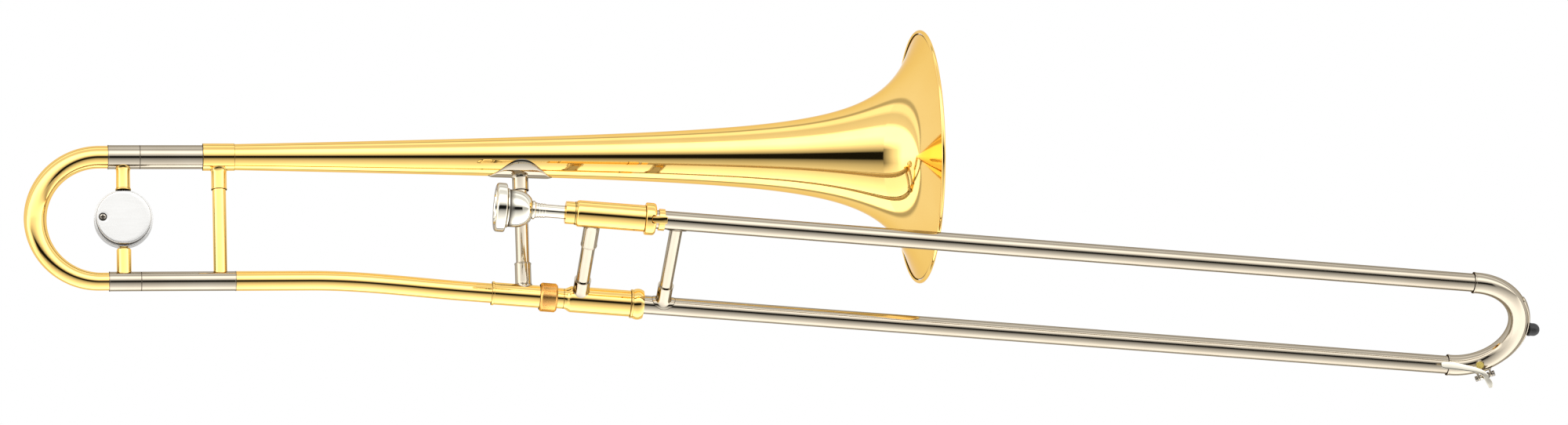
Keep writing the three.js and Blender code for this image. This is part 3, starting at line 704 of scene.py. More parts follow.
def counterweight():
    middle = centre_of("counterweight_body")
    face_line = placed(middle, (0, 1, 0), Z)
    _, end, radius = span("counterweight_body", face_line)
    front, parting, cap_radius = span("counterweight_cap", face_line)
    EDGE = 2.0
    body = [(parting, 0), (parting, radius), (end - EDGE, radius), (end, radius - EDGE), (end, 0)]
    shape = formed(face_line, rounded(body, 0.5), 160)
    show("counterweight_body", shape)
    low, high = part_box("counterweight_screw")
    screw_middle = (low + high) / 2
    screw_line = placed((screw_middle.x, middle.y, screw_middle.z), (0, 1, 0), Z)
    screw_radius = (high.z - low.z) / MM / 2
    hole_radius = screw_radius + 0.35
    cap = drilled_disc(face_line, front, parting, cap_radius, screw_line, hole_radius)
    back = screw_line.inverted()

    # painted shade round the screw's hole and at the cap's back, where it meets the body
    def round_screw(point):
        place = back @ point
        by_hole = math.hypot(place.y, place.z) < hole_radius * 1.1
        return float(by_hole or place.x > parting - 0.2)

    # painted shade deep in the screw's cross recess and round its head's edge
    def in_recess(point):
        place = back @ point
        deep = place.x > front + 0.9
        edge = math.hypot(place.y, place.z) > 0.93 * screw_radius
        return float(deep or edge)

    show("counterweight_cap", cap, round_screw)
    show("counterweight_screw", cross_head(screw_line, front, screw_radius), in_recess)
    stubs(middle)


def drilled_disc(line, front, back, radius, hole_line, hole_radius):
    """A disc with a soft front edge and one blind hole, whose face is drawn from the hole's edge
    out to the disc's."""
    COUNT = 160
    DEPTH = 1.6  # of the hole
    EDGE = 0.9
    hole = line.inverted() @ hole_line.translation
    rings = [(front + DEPTH, 0, 0.0), (front + DEPTH, 0, 1.0), (front + 0.12, 0, 1.0)]
    rings += [(front + 0.03, 0, 1.04), (front, 0, 1.12)]
    rings += [(front, share, 1.12) for share in (0.08, 0.3, 0.6, 0.9, 1)]
    points = []
    for along, share, widen in rings:
        for i in range(COUNT):
            turn = 2 * math.pi * i / COUNT
            way = Vector((math.cos(turn), math.sin(turn)))
            inner = Vector((hole.y, hole.z)) + hole_radius * widen * way
            outer = (radius - EDGE) * way
            place = inner.lerp(outer, share)
            points.append(line @ Vector((along, place.x, place.y)))
    STEPS = 6
    for step in range(1, STEPS + 1):
        lean = math.pi / 2 * step / STEPS
        reach = radius - EDGE + EDGE * math.sin(lean)
        along = front + EDGE * (1 - math.cos(lean))
        points += ring_points(line, along, reach, COUNT)
    points += ring_points(line, back, radius, COUNT)
    points += ring_points(line, back, 0.0, COUNT)
    return points, grid_faces(len(points) // COUNT, COUNT, closed=True)


def ring_points(line, along, radius, count):
    turns = [2 * math.pi * i / count for i in range(count)]
    return [line @ Vector((along, radius * math.cos(t), radius * math.sin(t))) for t in turns]


def cross_head(line, front, radius):
    """A pan-head screw with a cross-shaped recess."""
    SIDES_HERE = 64
    RINGS = 22
    DEPTH = 0.9
    ARM = 0.30  # half width of an arm, as a share of the head's radius
    REACH = 0.72
    SLOPE = 0.06  # width of the recess's sloping walls, as such a share too
    base = front + 1.5
    points = ring_points(line, base, 0.0, SIDES_HERE) + ring_points(line, base, radius, SIDES_HERE)
    for ring in range(RINGS, -1, -1):
        share = ring / RINGS
        for i in range(SIDES_HERE):
            turn = 2 * math.pi * i / SIDES_HERE
            y, z = share * math.cos(turn), share * math.sin(turn)
            small, large = sorted((abs(y), abs(z)))
            in_arm = min(1, max(0, (ARM * 0.5 - small) / SLOPE + 0.5))
            inside = in_arm * min(1, max(0, (REACH - large) / SLOPE))
            height = front + 0.25 + 0.35 * share**3 + DEPTH * inside * (1 - 0.5 * large)
            points.append(line @ Vector((height, radius * y, radius * z)))
    return points, grid_faces(RINGS + 3, SIDES_HERE, closed=True)


def stubs(middle):
    """The two short posts that hold the counterweight between the tuning slide's ferrules."""
    post = upright(MIDDLE, middle.x / MM)
    leg = span("upper_bow_ferrule", BELL)[2]
    low, high, radius = span("counterweight_upper_stub", post)
    top = (BELL @ Vector((0, 0, -leg))).z / MM
    NECKED = 5.3
    FLANGE = 1.1
    upper = [(low - 0.2, 0), (low - 0.2, radius), (low + FLANGE, radius), (low + FLANGE, radius - 0.55)]
    upper += [(top - 3, NECKED), (top - 1, NECKED + 0.15), (top, NECKED + 0.7), (top, 0)]
    shape = formed(post, rounded(upper, 0.25), fit=coped(low, top, head=leg))
    show("counterweight_upper_stub", shape, seams(post, low - 0.2, low + FLANGE, top))
    leg = span("lower_bow_ferrule", LOWER)[2]
    low, high, radius = span("counterweight_lower_stub", post)
    foot = (LOWER @ Vector((0, 0, leg))).z / MM
    lower = [(foot, 0), (foot, radius), (high - 1.8, radius), (high - 0.6, radius - 1.1)]
    lower += [(high - 0.6, 3.2), (high + 0.3, 3.2), (high + 0.3, 0)]
    shape = formed(post, rounded(lower, 0.2), fit=coped(foot, high, foot=leg))
    show("counterweight_lower_stub", shape, seams(post, foot, high - 0.2, width=0.5))


# ---------- Inner slide ----------


def slide_tenon():
    start, end, collar = span("slide_tenon", SLIDE)
    BORE = 6.35
    COLLAR_X = 24.6
    profile = [(start, BORE), (start, 7.4), (COLLAR_X, 7.6), (COLLAR_X, collar), (end + JOIN, collar)]
    show("slide_tenon", formed(SLIDE, rounded(profile + [(end + JOIN, BORE)])))


def cork_barrels():
    """The barrels, each with its shoulder, and the lower one's end ring."""
    WALL = 0.9
    COLLAR = 6.6
    start, end, radius = span("lower_cork_barrel", SLIDE)
    neck = span("slide_tenon", SLIDE)[2]
    SHOULDER = 5.6
    STEPS = 10
    swell = []
    for i in range(STEPS + 1):
        share = i / STEPS
        rise = share * share * (3 - 2 * share)
        swell.append((start + 0.6 + SHOULDER * share, neck + (radius - neck) * rise))
    lower = [(start, COLLAR), (start, neck), *swell, (end + JOIN, radius), (end + JOIN, radius - WALL)]
    lower += [(start + SHOULDER, radius - WALL), (start + SHOULDER, COLLAR)]
    show("lower_cork_barrel", formed(SLIDE, rounded(lower, 0.3)), seams(SLIDE, start, end))
    start, end, radius = span("upper_cork_barrel", UPPER)
    receiver = span("mouthpiece_receiver", UPPER)[2]
    DOME = 2.6
    dome = []
    for i in range(STEPS + 1):
        lean = math.pi / 2 * i / STEPS
        x = start + 0.9 + DOME * (1 - math.cos(lean))
        dome.append((x, radius - 1.6 + 1.6 * math.sin(lean)))
    upper = [(start, COLLAR), (start, receiver + 0.35), (start + 0.7, receiver + 0.35)]
    upper += [(start + 0.9, receiver - 0.1), *dome]
    upper += [(end + JOIN, radius), (end + JOIN, radius - WALL)]
    upper += [(start + SHOULDER, radius - WALL), (start + SHOULDER, COLLAR)]
    marks = seams(UPPER, start, start + 0.9, end, width=0.15)
    show("upper_cork_barrel", formed(UPPER, rounded(upper, 0.2)), marks)
    end_ring()


def end_ring():
    """The rounded ring at the open end of the lower barrel."""
    start, end, radius = span("lower_barrel_end_ring", SLIDE)
    barrel = span("lower_cork_barrel", SLIDE)[2]
    BORE = 7.9
    LIP = 1.1
    profile = [(start - JOIN, BORE), (start - JOIN, barrel + 0.9), (start + LIP, barrel + 1.1)]
    profile += [(start + LIP + 0.5, barrel + 0.75)]
    STEPS = 16
    bulge = end - start - LIP - 0.9
    for i in range(STEPS + 1):
        lean = math.pi * (0.12 + 0.82 * i / STEPS)
        x = start + LIP + 0.9 + bulge * i / STEPS
        profile.append((x, radius - 2.0 + 2.0 * math.sin(lean) ** 0.7))
    profile += [(end, BORE + 0.6), (end - 0.6, BORE)]
    marks = seams(SLIDE, start, start + LIP + 0.5, width=0.15)
    show("lower_barrel_end_ring", formed(SLIDE, rounded(profile, 0.25)), marks)


def mouthpiece_receiver():
    start, end, radius = span("mouthpiece_receiver", UPPER)
    BORE = 5.6
    profile = [(start, BORE), (start, radius - 0.2), (start + 1.1, radius), (end + JOIN, radius)]
    shape = formed(UPPER, rounded([*profile, (end + JOIN, BORE)], 0.35))
    show("mouthpiece_receiver", shape, seams(UPPER, end))
    start, end, radius = span("leadpipe", UPPER)
    show("leadpipe", formed(UPPER, rounded(tube(start, end, radius, radius - 0.35), 0.1)))


def inner_tubes():
    for side, line in LINES.items():
        start, end, radius = span(side + "_inner_tube", line)
        bore = radius - SLIDE_WALL
        show(side + "_inner_tube", formed(line, rounded(tube(start, end + JOIN, radius, bore), 0.08)))
        start, end, radius = span(side + "_stocking", line)
        LEAD = 6.0  # the stocking's ends run in softly
        low = start - JOIN
        stocking = [(low, bore), (low, radius - 0.15), (low + LEAD, radius), (end - 0.6, radius)]
        stocking += [(end, radius - 0.2), (end, bore)]
        show(side + "_stocking", formed(line, rounded(stocking, 0.1)))
        start, end, radius = span(side + "_cork", line)
        show(side + "_cork", formed(line, rounded(tube(start, end, radius, 6.7), 0.5), 48))


def brace_post(node, x, low, high, radius, foot=None, head=None, mouth=None, flare=0.0):
    """One stretch of a hand-slide brace, fitted to the tubes that it touches. mouth is the end
    with the ring."""
    post = upright(SLIDE, x)
    if mouth:
        profile = socket(low, high, radius, mouth, flare=flare)
    else:
        profile = [(low, 0), (low, radius), (high, radius), (high, 0)]
    ends = [low] if foot or mouth == "start" else []
    if head or mouth == "end":
        ends.append(high)
    shape = formed(post, rounded(profile, 0.2), fit=coped(low, high, foot, head))
    # only the socket's raised ring and flare reach past this distance, so only they get painted shade at the ends
    unshaded_within = radius + 0.12 if mouth else 0.0
    show(node, shape, seams(post, *ends, width=0.22, unshaded_within=unshaded_within) if ends else None)


def inner_brace():
    x = (SLIDE.inverted() @ centre_of("inner_brace_tube")).x
    barrel = span("lower_cork_barrel", SLIDE)[2]
    post = upright(SLIDE, x)
    low, high, radius = span("inner_brace_lower_socket", post)
    brace_post("inner_brace_lower_socket", x, barrel, high, radius, barrel, None, "end", 0.5)
    low, high, radius = span("inner_brace_upper_socket", post)
    top = SPACING - barrel
    brace_post("inner_brace_upper_socket", x, low, top, radius, None, barrel, "start", 0.5)
    low, high, radius = span("inner_brace_tube", post)
    brace_post("inner_brace_tube", x, low - 1, high + 1, radius)


def lock_ring():
    """The ring that turns on the upper barrel's end, with the notch that lets the lug through."""
    start, end, radius = span("slide_lock_ring", UPPER)
    BORE = 7.9
    CHANNEL = 9.8
    LEFT = 1.0
    RIGHT = 2.6
    STEPS = 10
    profile = [(start, BORE), (start, radius - 1.4)]
    for i in range(STEPS + 1):
        lean = math.pi / 2 * i / STEPS
        profile.append((start + LEFT * (1 - math.cos(lean)), radius - 1.2 + 1.2 * math.sin(lean)))
    for i in range(STEPS + 1):
        lean = math.pi / 2 * i / STEPS
        x = end - RIGHT + RIGHT * math.sin(lean)
        profile.append((x, radius - 2.2 + 2.2 * math.cos(lean)))
    profile += [(end, CHANNEL), (start + 3, CHANNEL), (start + 3, BORE)]
    shape = formed(UPPER, profile, 144)
    ring = show("slide_lock_ring", shape)
    cut_notch(ring, end)


def cut_notch(ring, end):
    """Cuts the lug's rounded notch out of the ring's open end."""
    lug = lug_frame()
    WIDTH = 6.4
    DEPTH = 3.0
    outline = []
    STEPS = 12
    for i in range(STEPS + 1):
        lean = math.pi * (0.5 + i / STEPS)
        outline.append((end - DEPTH + 1.2 * math.cos(lean), WIDTH / 2 * math.sin(lean)))
    outline += [(end + 2, -WIDTH / 2), (end + 2, WIDTH / 2)]
    points, faces = prism(lug, outline, 6.5, 16)
    mesh = bpy.data.meshes.new("notch")
    mesh.from_pydata(points, [], faces)
    cutter = bpy.data.objects.new("notch", mesh)
    bpy.context.scene.collection.objects.link(cutter)
    change = ring.modifiers.new("notch", "BOOLEAN")
    change.operation = "DIFFERENCE"
    change.solver = "EXACT"
    change.object = cutter
    bake(ring)
    bpy.data.objects.remove(cutter)
    ring.data.set_sharp_from_angle(angle=math.radians(32))


def bake(piece):
    """Turns a piece's modifiers into its mesh."""
    bpy.context.view_layer.update()
    seen = piece.evaluated_get(bpy.context.evaluated_depsgraph_get())
    piece.data = bpy.data.meshes.new_from_object(seen)
    piece.modifiers.clear()


def prism(line, outline, low, high):
    """An outline in the line's XY plane, drawn up from one height to another."""
    count = len(outline)
    points = [line @ Vector((x, y, z)) for z in (low, high) for x, y in outline]
    faces = [[i, (i + 1) % count, count + (i + 1) % count, count + i] for i in range(count)]
    faces += [list(range(count - 1, -1, -1)), list(range(count, 2 * count))]
    return points, faces


def lug_frame():
    """The frame of the slide lock's lug: its Z points from the upper slide tube to the lug."""
    LOCK_TURN = 49
    return UPPER @ Matrix.Rotation(math.radians(LOCK_TURN), 4, "X")


# ---------- Mouthpiece ----------


def arc(centre_x, centre_radius, wide, high, start, end, steps):
    """Points of a stretch of an ellipse, its angles in degrees from the outward direction."""
    points = []
    for i in range(steps + 1):
        lean = math.radians(start + (end - start) * i / steps)
        points.append((centre_x + wide * math.sin(lean), centre_radius + high * math.cos(lean)))
    return points


def mouthpiece():
    start, end, rim = span("mouthpiece", UPPER)
    RIM_WIDTH = 8.2
    SHANK = 5.0
    outer = arc(start + 2.3, rim - 2.1, 2.3, 2.1, -90, 0, 8)
    outer += arc(start + RIM_WIDTH - 1.5, rim - 1.8, 1.5, 1.8, 0, 80, 6)
    outer += [(start + RIM_WIDTH + 0.25, rim - 3.6), (start + RIM_WIDTH + 0.4, rim - 3.9)]
    outer += arc(start + RIM_WIDTH + 1.15, rim - 4.2, 0.75, 0.55, -90, 90, 6)
    bowl_x = start + RIM_WIDTH + 2.1
    outer += [(bowl_x, 14.35)]
    outer += arc(bowl_x + 4.4, 4.6, 14.0, 9.8, 0, 68, 14)
    outer += arc(bowl_x + 19.0, 6.2, 1.3, 0.95, -80, 80, 6)
    outer += [(bowl_x + 20.8, 5.9), (bowl_x + 22.2, 5.75)]
    ridge_x = bowl_x + 23.2
    for step in range(3):
        outer += arc(ridge_x + 2.1 * step, 5.1, 0.8, 0.55 - 0.1 * step, -80, 80, 5)
    outer += [(ridge_x + 6.0, SHANK), (end - 1, SHANK), (end, SHANK - 0.3)]
    inner = [(end, 4.2), (bowl_x + 24, 3.2), (bowl_x + 18.5, 3.3)]
    inner += arc(start + 2.8, 3.2, 20.5, 9.6, 78, 0, 14)
    inner += [(start + 1.2, 13.0), (start + 0.3, 13.9)]
    profile = outer + inner
    # painted shade: thin dark lines in the creases of the mouthpiece's outside
    marks = seams(UPPER, start + RIM_WIDTH + 0.4, bowl_x, bowl_x + 17.6, width=0.15)
    show("mouthpiece", formed(UPPER, profile, 128), marks)


# ---------- Outer slide ----------


def outer_tubes():
    for side, line in LINES.items():
        start, end, radius = span(side + "_outer_tube", line)
        profile = tube(start, end + JOIN, radius, radius - SLIDE_WALL)
        show(side + "_outer_tube", formed(line, rounded(profile, 0.1)), seams(line, end))


def lock_collar():
    """The collar on the upper outer tube and the lug that the lock ring holds."""
    start = span("slide_lock_collar", UPPER)[0]
    end = span("slide_lock_collar", UPPER)[1]
    tube_radius = span("upper_outer_tube", UPPER)[2]
    COLLAR_START = 93.4
    COLLAR_END = 98.1
    COLLAR_RADIUS = 8.4
    LUG_WIDTH = 5.6
    LUG_TOP = 9.15
    collar = tube(COLLAR_START, COLLAR_END, COLLAR_RADIUS, tube_radius + 0.02)
    ring = formed(UPPER, rounded(collar, 0.4))
    STEPS = 12
    nose = LUG_WIDTH / 2
    outline = []
    for i in range(STEPS + 1):
        lean = math.pi * (0.5 + i / STEPS)
        outline.append((start + nose * 0.8 + nose * 0.8 * math.cos(lean), nose * math.sin(lean)))
    outline += [(end - 0.5, -nose), (end, 0.5 - nose), (end, nose - 0.5), (end - 0.5, nose)]
    lug = crowned(lug_frame(), outline, tube_radius + 0.05, LUG_TOP, 0.35)
    show("slide_lock_collar", merged(ring, lug))


def crowned(line, outline, low, high, soft):
    """A plate with a rounded upper edge that bends with the tube under it."""
    middle_x = sum(x for x, _ in outline) / len(outline)
    layers = [(low, 0.0), (high - soft, 0.0)]
    for i in range(1, 5):
        lean = math.pi / 2 * i / 4
        layers.append((high - soft + soft * math.sin(lean), soft * (1 - math.cos(lean))))
    count = len(outline)
    points = []
    for height, inset in layers:
        for x, y in outline:
            reach = max(abs(y) - inset, 0) * (1 if y > 0 else -1)
            x_in = x + inset * (1 if x < middle_x else -1)
            drop = height - math.sqrt(max(height**2 - reach**2, 0))
            points.append(line @ Vector((x_in, reach, height - drop)))
    faces = grid_faces(len(layers), count, closed=True)
    top = (len(layers) - 1) * count
    return points, faces + [list(range(count - 1, -1, -1)), list(range(top, top + count))]


def saddle(node, line, facing, tube_radius):
    """A round-ended plate on a slide tube, thin at its edge, on the side that faces along Z."""
    back = line.inverted()
    along = [(back @ v.co).x for v in frame["nodes"][node].data.vertices]
    start, end = min(along), max(along)
    middle, half = (start + end) / 2, (end - start) / 2
    SPREAD = math.radians(72)
    THICKNESS = 0.75
    EDGE = 0.18
    RINGS = 14
    COUNT = 72
    points = []
    for layer in (1, 0):
        for ring in range(RINGS + 1):
            share = ring / RINGS
            lift = layer * (EDGE + (THICKNESS - EDGE) * (1 - share**4))
            for i in range(COUNT):
                turn = 2 * math.pi * i / COUNT
                lean = SPREAD * share * math.sin(turn)
                reach = tube_radius + 0.03 + lift
                x = middle + half * share * math.cos(turn)
                place = Vector((x, reach * math.sin(lean), facing * reach * math.cos(lean)))
                points.append(line @ place)
    count = (RINGS + 1) * COUNT
    faces = grid_faces(RINGS + 1, COUNT, closed=True) + grid_faces(RINGS + 1, COUNT, count, True)
    rim = RINGS * COUNT
    for i in range(COUNT):
        j = (i + 1) % COUNT
        faces.append([rim + i, rim + j, rim + j + count, rim + i + count])

    # painted shade round the saddle's edge, where it meets the tube
    def at_edge(point):
        place = back @ point
        lean = math.atan2(place.y, facing * place.z)
        return float(math.hypot((place.x - middle) / half, lean / SPREAD) > 0.95)

    show(node, (points, faces), at_edge)


def outer_brace():
    tube_radius = span("lower_outer_tube", SLIDE)[2]
    saddle("outer_brace_lower_saddle", SLIDE, 1, tube_radius)
    saddle("outer_brace_upper_saddle", UPPER, -1, tube_radius)
    x = (SLIDE.inverted() @ centre_of("outer_brace_tube")).x
    post = upright(SLIDE, x)
    low, high, radius = span("outer_brace_lower_socket", post)
    PLATE = 0.5
    seat = tube_radius + PLATE
    brace_post("outer_brace_lower_socket", x, seat, high, radius, seat, None, "end", 0.6)
    low, high, radius = span("outer_brace_tube", post)
    top = SPACING - seat
    brace_post("outer_brace_tube", x, low - 1, top, radius, None, seat)


def slide_bow():
    start = span("lower_outer_tube", SLIDE)[1] + JOIN
    bend = SPACING / 2
    line = moved(SLIDE, 0, 0, bend)
    back = line.inverted()
    points = [back @ v.co for v in frame["nodes"]["slide_bow"].data.vertices]
    radius = max(p.y for p in points)
    centre = max(p.x for p in points) - radius - bend
    path, arc_length = u_bend(centre, bend, 1)
    lead = centre - start
    BORE = 6.95
    BEAD = 1.3  # width of the raised ring at each end
    RAISED = 0.3
    COUNT = 120
    low, high = -lead, arc_length + lead
    outer = [(low, radius + RAISED), (low + BEAD, radius + RAISED), (low + BEAD + 0.01, radius)]
    places = [low + 2 * BEAD + (high - low - 4 * BEAD) * i / COUNT for i in range(COUNT + 1)]
    outer += [(a, radius) for a in places]
    outer += [(high - BEAD - 0.01, radius), (high - BEAD, radius + RAISED), (high, radius + RAISED)]
    inner = [(high, BORE)] + [(a, BORE) for a in reversed(places)] + [(low, BORE)]
    marks = seams(line, start, start + BEAD, width=0.12)
    show("slide_bow", formed(line, rounded(outer + inner, 0.3), path=path), marks)
    bow_guard(line, centre, bend, radius)


def bow_guard(line, centre, bend, tube_radius):
    """The strip round the outside of the bow, and the rubber bumper on it."""
    SPREAD = math.radians(38)
    HALF = 3.2
    THICKNESS = 0.9
    ROWS = 80
    COLUMNS = 12
    points = []
    for layer in (1, 0):
        for row in range(ROWS + 1):
            lean = SPREAD * (2 * row / ROWS - 1)
            end = abs(2 * row / ROWS - 1)
            narrow = HALF * math.sqrt(max(0.02, 1 - max(0, (end - 0.93) / 0.07) ** 2))
            for column in range(COLUMNS + 1):
                side = 2 * column / COLUMNS - 1
                y = narrow * side
                rim = max(end**40, abs(side) ** 8)
                hug = math.sqrt(tube_radius**2 - y**2) - tube_radius
                out = bend + tube_radius + hug + 0.03 + layer * (THICKNESS - 0.5 * rim)
                place = Vector((centre + out * math.cos(lean), y, out * math.sin(lean)))
                points.append(line @ place)
    show("bow_guard", (points, shell_faces(ROWS + 1, COLUMNS + 1)))
    start, end, radius = span("bow_bumper", line)
    LENGTH = end - start
    FOOT = 1.0
    STEP_IN = 0.3
    SUNK = 0.5  # how far the foot goes into the strip
    NOSE = LENGTH * 0.6
    bumper = [(start - SUNK, 0), (start - SUNK, radius), (start + FOOT, radius)]
    bumper += [(start + FOOT, radius - STEP_IN)]
    bumper += arc(end - NOSE, 0, NOSE, radius - STEP_IN, 0, 90, 12)[:-1]
    bumper.append((end, 0))
    show("bow_bumper", formed(line, rounded(bumper, 0.25), 64))


# ---------- Water key ----------

PIN = JOINTS["water_key_press"]
PIN_LINE = placed(PIN["pos_m"], PIN["axis"], RISE)
KEY_OUT = 9.0  # from the bow's centreline to the pin's line, outwards
KEY_DOWN = 8.6  # and down
KEY_LINE = moved(PIN_LINE, 0, KEY_DOWN, KEY_OUT)  # touches the bow's centreline
TAB_X = 5.0
TAB_THICKNESS = 1.5
PIN_RADIUS = 0.9
HEAD_RADIUS = 2.2


def water_key_mount():
    bow = max((SLIDE.inverted() @ v.co).y for v in frame["nodes"]["slide_bow"].data.vertices)
    facing = KEY_LINE @ Matrix.Rotation(math.atan2(KEY_DOWN, -KEY_OUT), 4, "X")
    distance = math.hypot(KEY_OUT, KEY_DOWN)
    half = TAB_X + TAB_THICKNESS
    shapes = [curved_plate(facing, half, bow, math.radians(24), 0.8)]
    STEPS = 14
    for way in (-1, 1):
        eye = []
        for i in range(STEPS + 1):
            lean = math.pi * i / STEPS
            eye.append((HEAD_RADIUS * math.cos(lean), distance + HEAD_RADIUS * math.sin(lean)))
        outline = [(2.6, bow + 0.3), (2.4, bow + 1.2), *eye, (-2.4, bow + 1.2), (-2.6, bow + 0.3)]
        tab = moved(facing, way * TAB_X - TAB_THICKNESS / 2)
        tab = tab @ Matrix(((0, 0, 1, 0), (1, 0, 0, 0), (0, 1, 0, 0), (0, 0, 0, 1)))
        shapes.append(plate(tab, outline, TAB_THICKNESS, 0.25))
    show("water_key_saddle", merged(*shapes))
    way = centre_of("water_key_cork") - KEY_LINE.translation
    nozzle = placed(KEY_LINE.translation, way, PIN["axis"])
    start, end, radius = span("water_key_nipple", nozzle)
    profile = [(bow - 0.4, 1.3), (bow - 0.4, radius + 0.5), (bow + 0.4, radius + 0.1)]
    profile += [(end - 0.3, radius - 0.1), (end, radius - 0.4), (end, 1.3)]
    show("water_key_nipple", formed(nozzle, rounded(profile, 0.15), 48))
    start, end, radius = span("water_key_cork", nozzle)
    pad = [(start, 0), (start, radius), (end, radius), (end, 0)]
    show("water_key_cork", formed(nozzle, rounded(pad, 0.35), 48))


def curved_plate(line, half, tube_radius, spread_angle, thickness):
    """A plate with soft edges that lies on a tube, on the side where Z points."""
    ROWS = 24
    COLUMNS = 16
    points = []
    for layer in (1, 0):
        for row in range(ROWS + 1):
            along = 2 * row / ROWS - 1
            for column in range(COLUMNS + 1):
                side = 2 * column / COLUMNS - 1
                rim = max(abs(along), abs(side)) ** 12
                reach = tube_radius + 0.02 + layer * thickness * (1 - 0.6 * rim)
                lean = spread_angle * side
                place = Vector((half * along, reach * math.sin(lean), reach * math.cos(lean)))
                points.append(line @ place)
    return points, shell_faces(ROWS + 1, COLUMNS + 1)


def plate(line, outline, thickness, soft):
    """An outline in the line's XY plane as a flat plate with softened edges."""
    middle = Vector((sum(x for x, _ in outline), sum(y for _, y in outline))) / len(outline)
    STEPS = 3
    levels = [(soft - soft * math.sin(a), soft - soft * math.cos(a)) for a in arc_turns(STEPS)]
    levels += [(thickness - z, inset) for z, inset in reversed(levels)]
    points = []
    for z, inset in levels:
        for x, y in outline:
            point = Vector((x, y))
            out = point - middle
            point -= out.normalized() * inset
            points.append(line @ Vector((point.x, point.y, z)))
    count = len(outline)
    faces = grid_faces(len(levels), count, closed=True)
    top = (len(levels) - 1) * count
    return points, faces + [list(range(count - 1, -1, -1)), list(range(top, top + count))]


def arc_turns(steps):
    return [math.pi / 2 * (1 - i / steps) for i in range(steps + 1)]


def water_key_pin():
    start, end, radius = span("water_key_pin", PIN_LINE)
    HEAD = 2.0
    NECKED = 0.5
    head = [(start, 0), (start, radius), (start + HEAD, radius), (start + HEAD, PIN_RADIUS + NECKED)]
    head += [(start + HEAD + 0.3, PIN_RADIUS)]
    other = [(start + end - x, r) for x, r in reversed(head)]
    show("water_key_pin", formed(PIN_LINE, rounded(head + other, 0.3), 64))
    start, end, radius = span("water_key_spring", PIN_LINE)
    WIRE = 0.34
    TURNS = 3
    STEPS = 28
    ROUND = 10
    points = []
    for step in range(TURNS * STEPS + 1):
        turn = 2 * math.pi * step / STEPS
        along = start + WIRE + (end - start - 2 * WIRE) * step / (TURNS * STEPS)
        for i in range(ROUND):
            lean = 2 * math.pi * i / ROUND
            reach = radius - WIRE + WIRE * math.cos(lean)
            x = along + WIRE * math.sin(lean)
            points.append(PIN_LINE @ Vector((x, reach * math.cos(turn), reach * math.sin(turn))))
    rows = TURNS * STEPS + 1
    faces = grid_faces(rows, ROUND, closed=True)
    last = (rows - 1) * ROUND
    faces += [list(range(ROUND - 1, -1, -1)), list(range(last, last + ROUND))]
    show("water_key_spring", (points, faces))


def smooth_between(places, steps):
    """Points on a smooth curve through the places, which may have any number of coordinates."""
    rows = [Vector(place) for place in places]
    rows = [2 * rows[0] - rows[1], *rows, 2 * rows[-1] - rows[-2]]
    curve = []
    for before, first, second, after in zip(rows, rows[1:], rows[2:], rows[3:]):
        for step in range(steps):
            t = step / steps
            pull = (second - before) * t + (2 * before - 5 * first + 4 * second - after) * t**2
            pull += (3 * first - before - 3 * second + after) * t**3
            curve.append(first + pull / 2)
    return curve + [rows[-2]]


def water_key_lever():
    """The lever: a strap with a broad spatula end, bent down to the finger's tip."""
    FACE_TURN = math.radians(53)
    plane = SLIDE @ Matrix.Rotation(FACE_TURN, 4, "X")
    # along the slide, across it, half width, height
    strap = [
        (732.4, 0.7, 1.7, 14.9),
        (734.4, 0.75, 2.7, 15.1),
        (741.4, 0.8, 3.0, 15.4),
        (752.2, -0.2, 2.5, 15.7),
        (760.6, -1.2, 2.1, 15.8),
        (765.9, -2.7, 2.0, 15.8),
        (768.8, -4.8, 2.0, 15.6),
        (770.8, -7.6, 2.2, 15.2),
        (773.4, -10.9, 2.3, 14.6),
        (774.9, -14.4, 1.4, 14.0),
    ]
    THICK = 0.6
    ROUND = 20
    LEAN = math.radians(-16)  # how far the strap's face is turned from the plane, to the light
    curve = smooth_between(strap, 8)
    points = []
    for i, row in enumerate(curve):
        before, after = curve[max(i - 1, 0)], curve[min(i + 1, len(curve) - 1)]
        heading = Vector((after[0] - before[0], after[1] - before[1])).normalized()
        across = Vector((-heading.y, heading.x, 0))
        for k in range(ROUND):
            lean = 2 * math.pi * k / ROUND
            side = math.copysign(abs(math.cos(lean)) ** 0.4, math.cos(lean)) * row[2]
            lift = math.copysign(abs(math.sin(lean)) ** 0.4, math.sin(lean)) * THICK
            level = side * math.cos(LEAN) - lift * math.sin(LEAN)
            rise = row[3] + side * math.sin(LEAN) + lift * math.cos(LEAN)
            points.append(plane @ (Vector((row[0], row[1], rise)) + across * level))
    faces = grid_faces(len(curve), ROUND, closed=True)
    last = (len(curve) - 1) * ROUND
    faces += [list(range(ROUND - 1, -1, -1)), list(range(last, last + ROUND))]
    barrel = formed(PIN_LINE, rounded(tube(-3.9, 1.7, HEAD_RADIUS, PIN_RADIUS + 0.2), 0.3), 48)
    hinge = plane.inverted() @ (PIN_LINE @ Vector((-1, 0, 0)))
    WEB = 1.9
    TOP = 15.4
    web_line = moved(plane, hinge.x, hinge.y, hinge.z + PIN_RADIUS + 0.3)
    outline = [(WEB, 1.3), (-WEB, 1.3), (-WEB, -1.3), (WEB, -1.3)]
    web = plate(web_line, outline, TOP - hinge.z - PIN_RADIUS - 0.3, 0.2)
    show("water_key_lever", merged((points, faces), barrel, web))


# ---------- Studio ----------

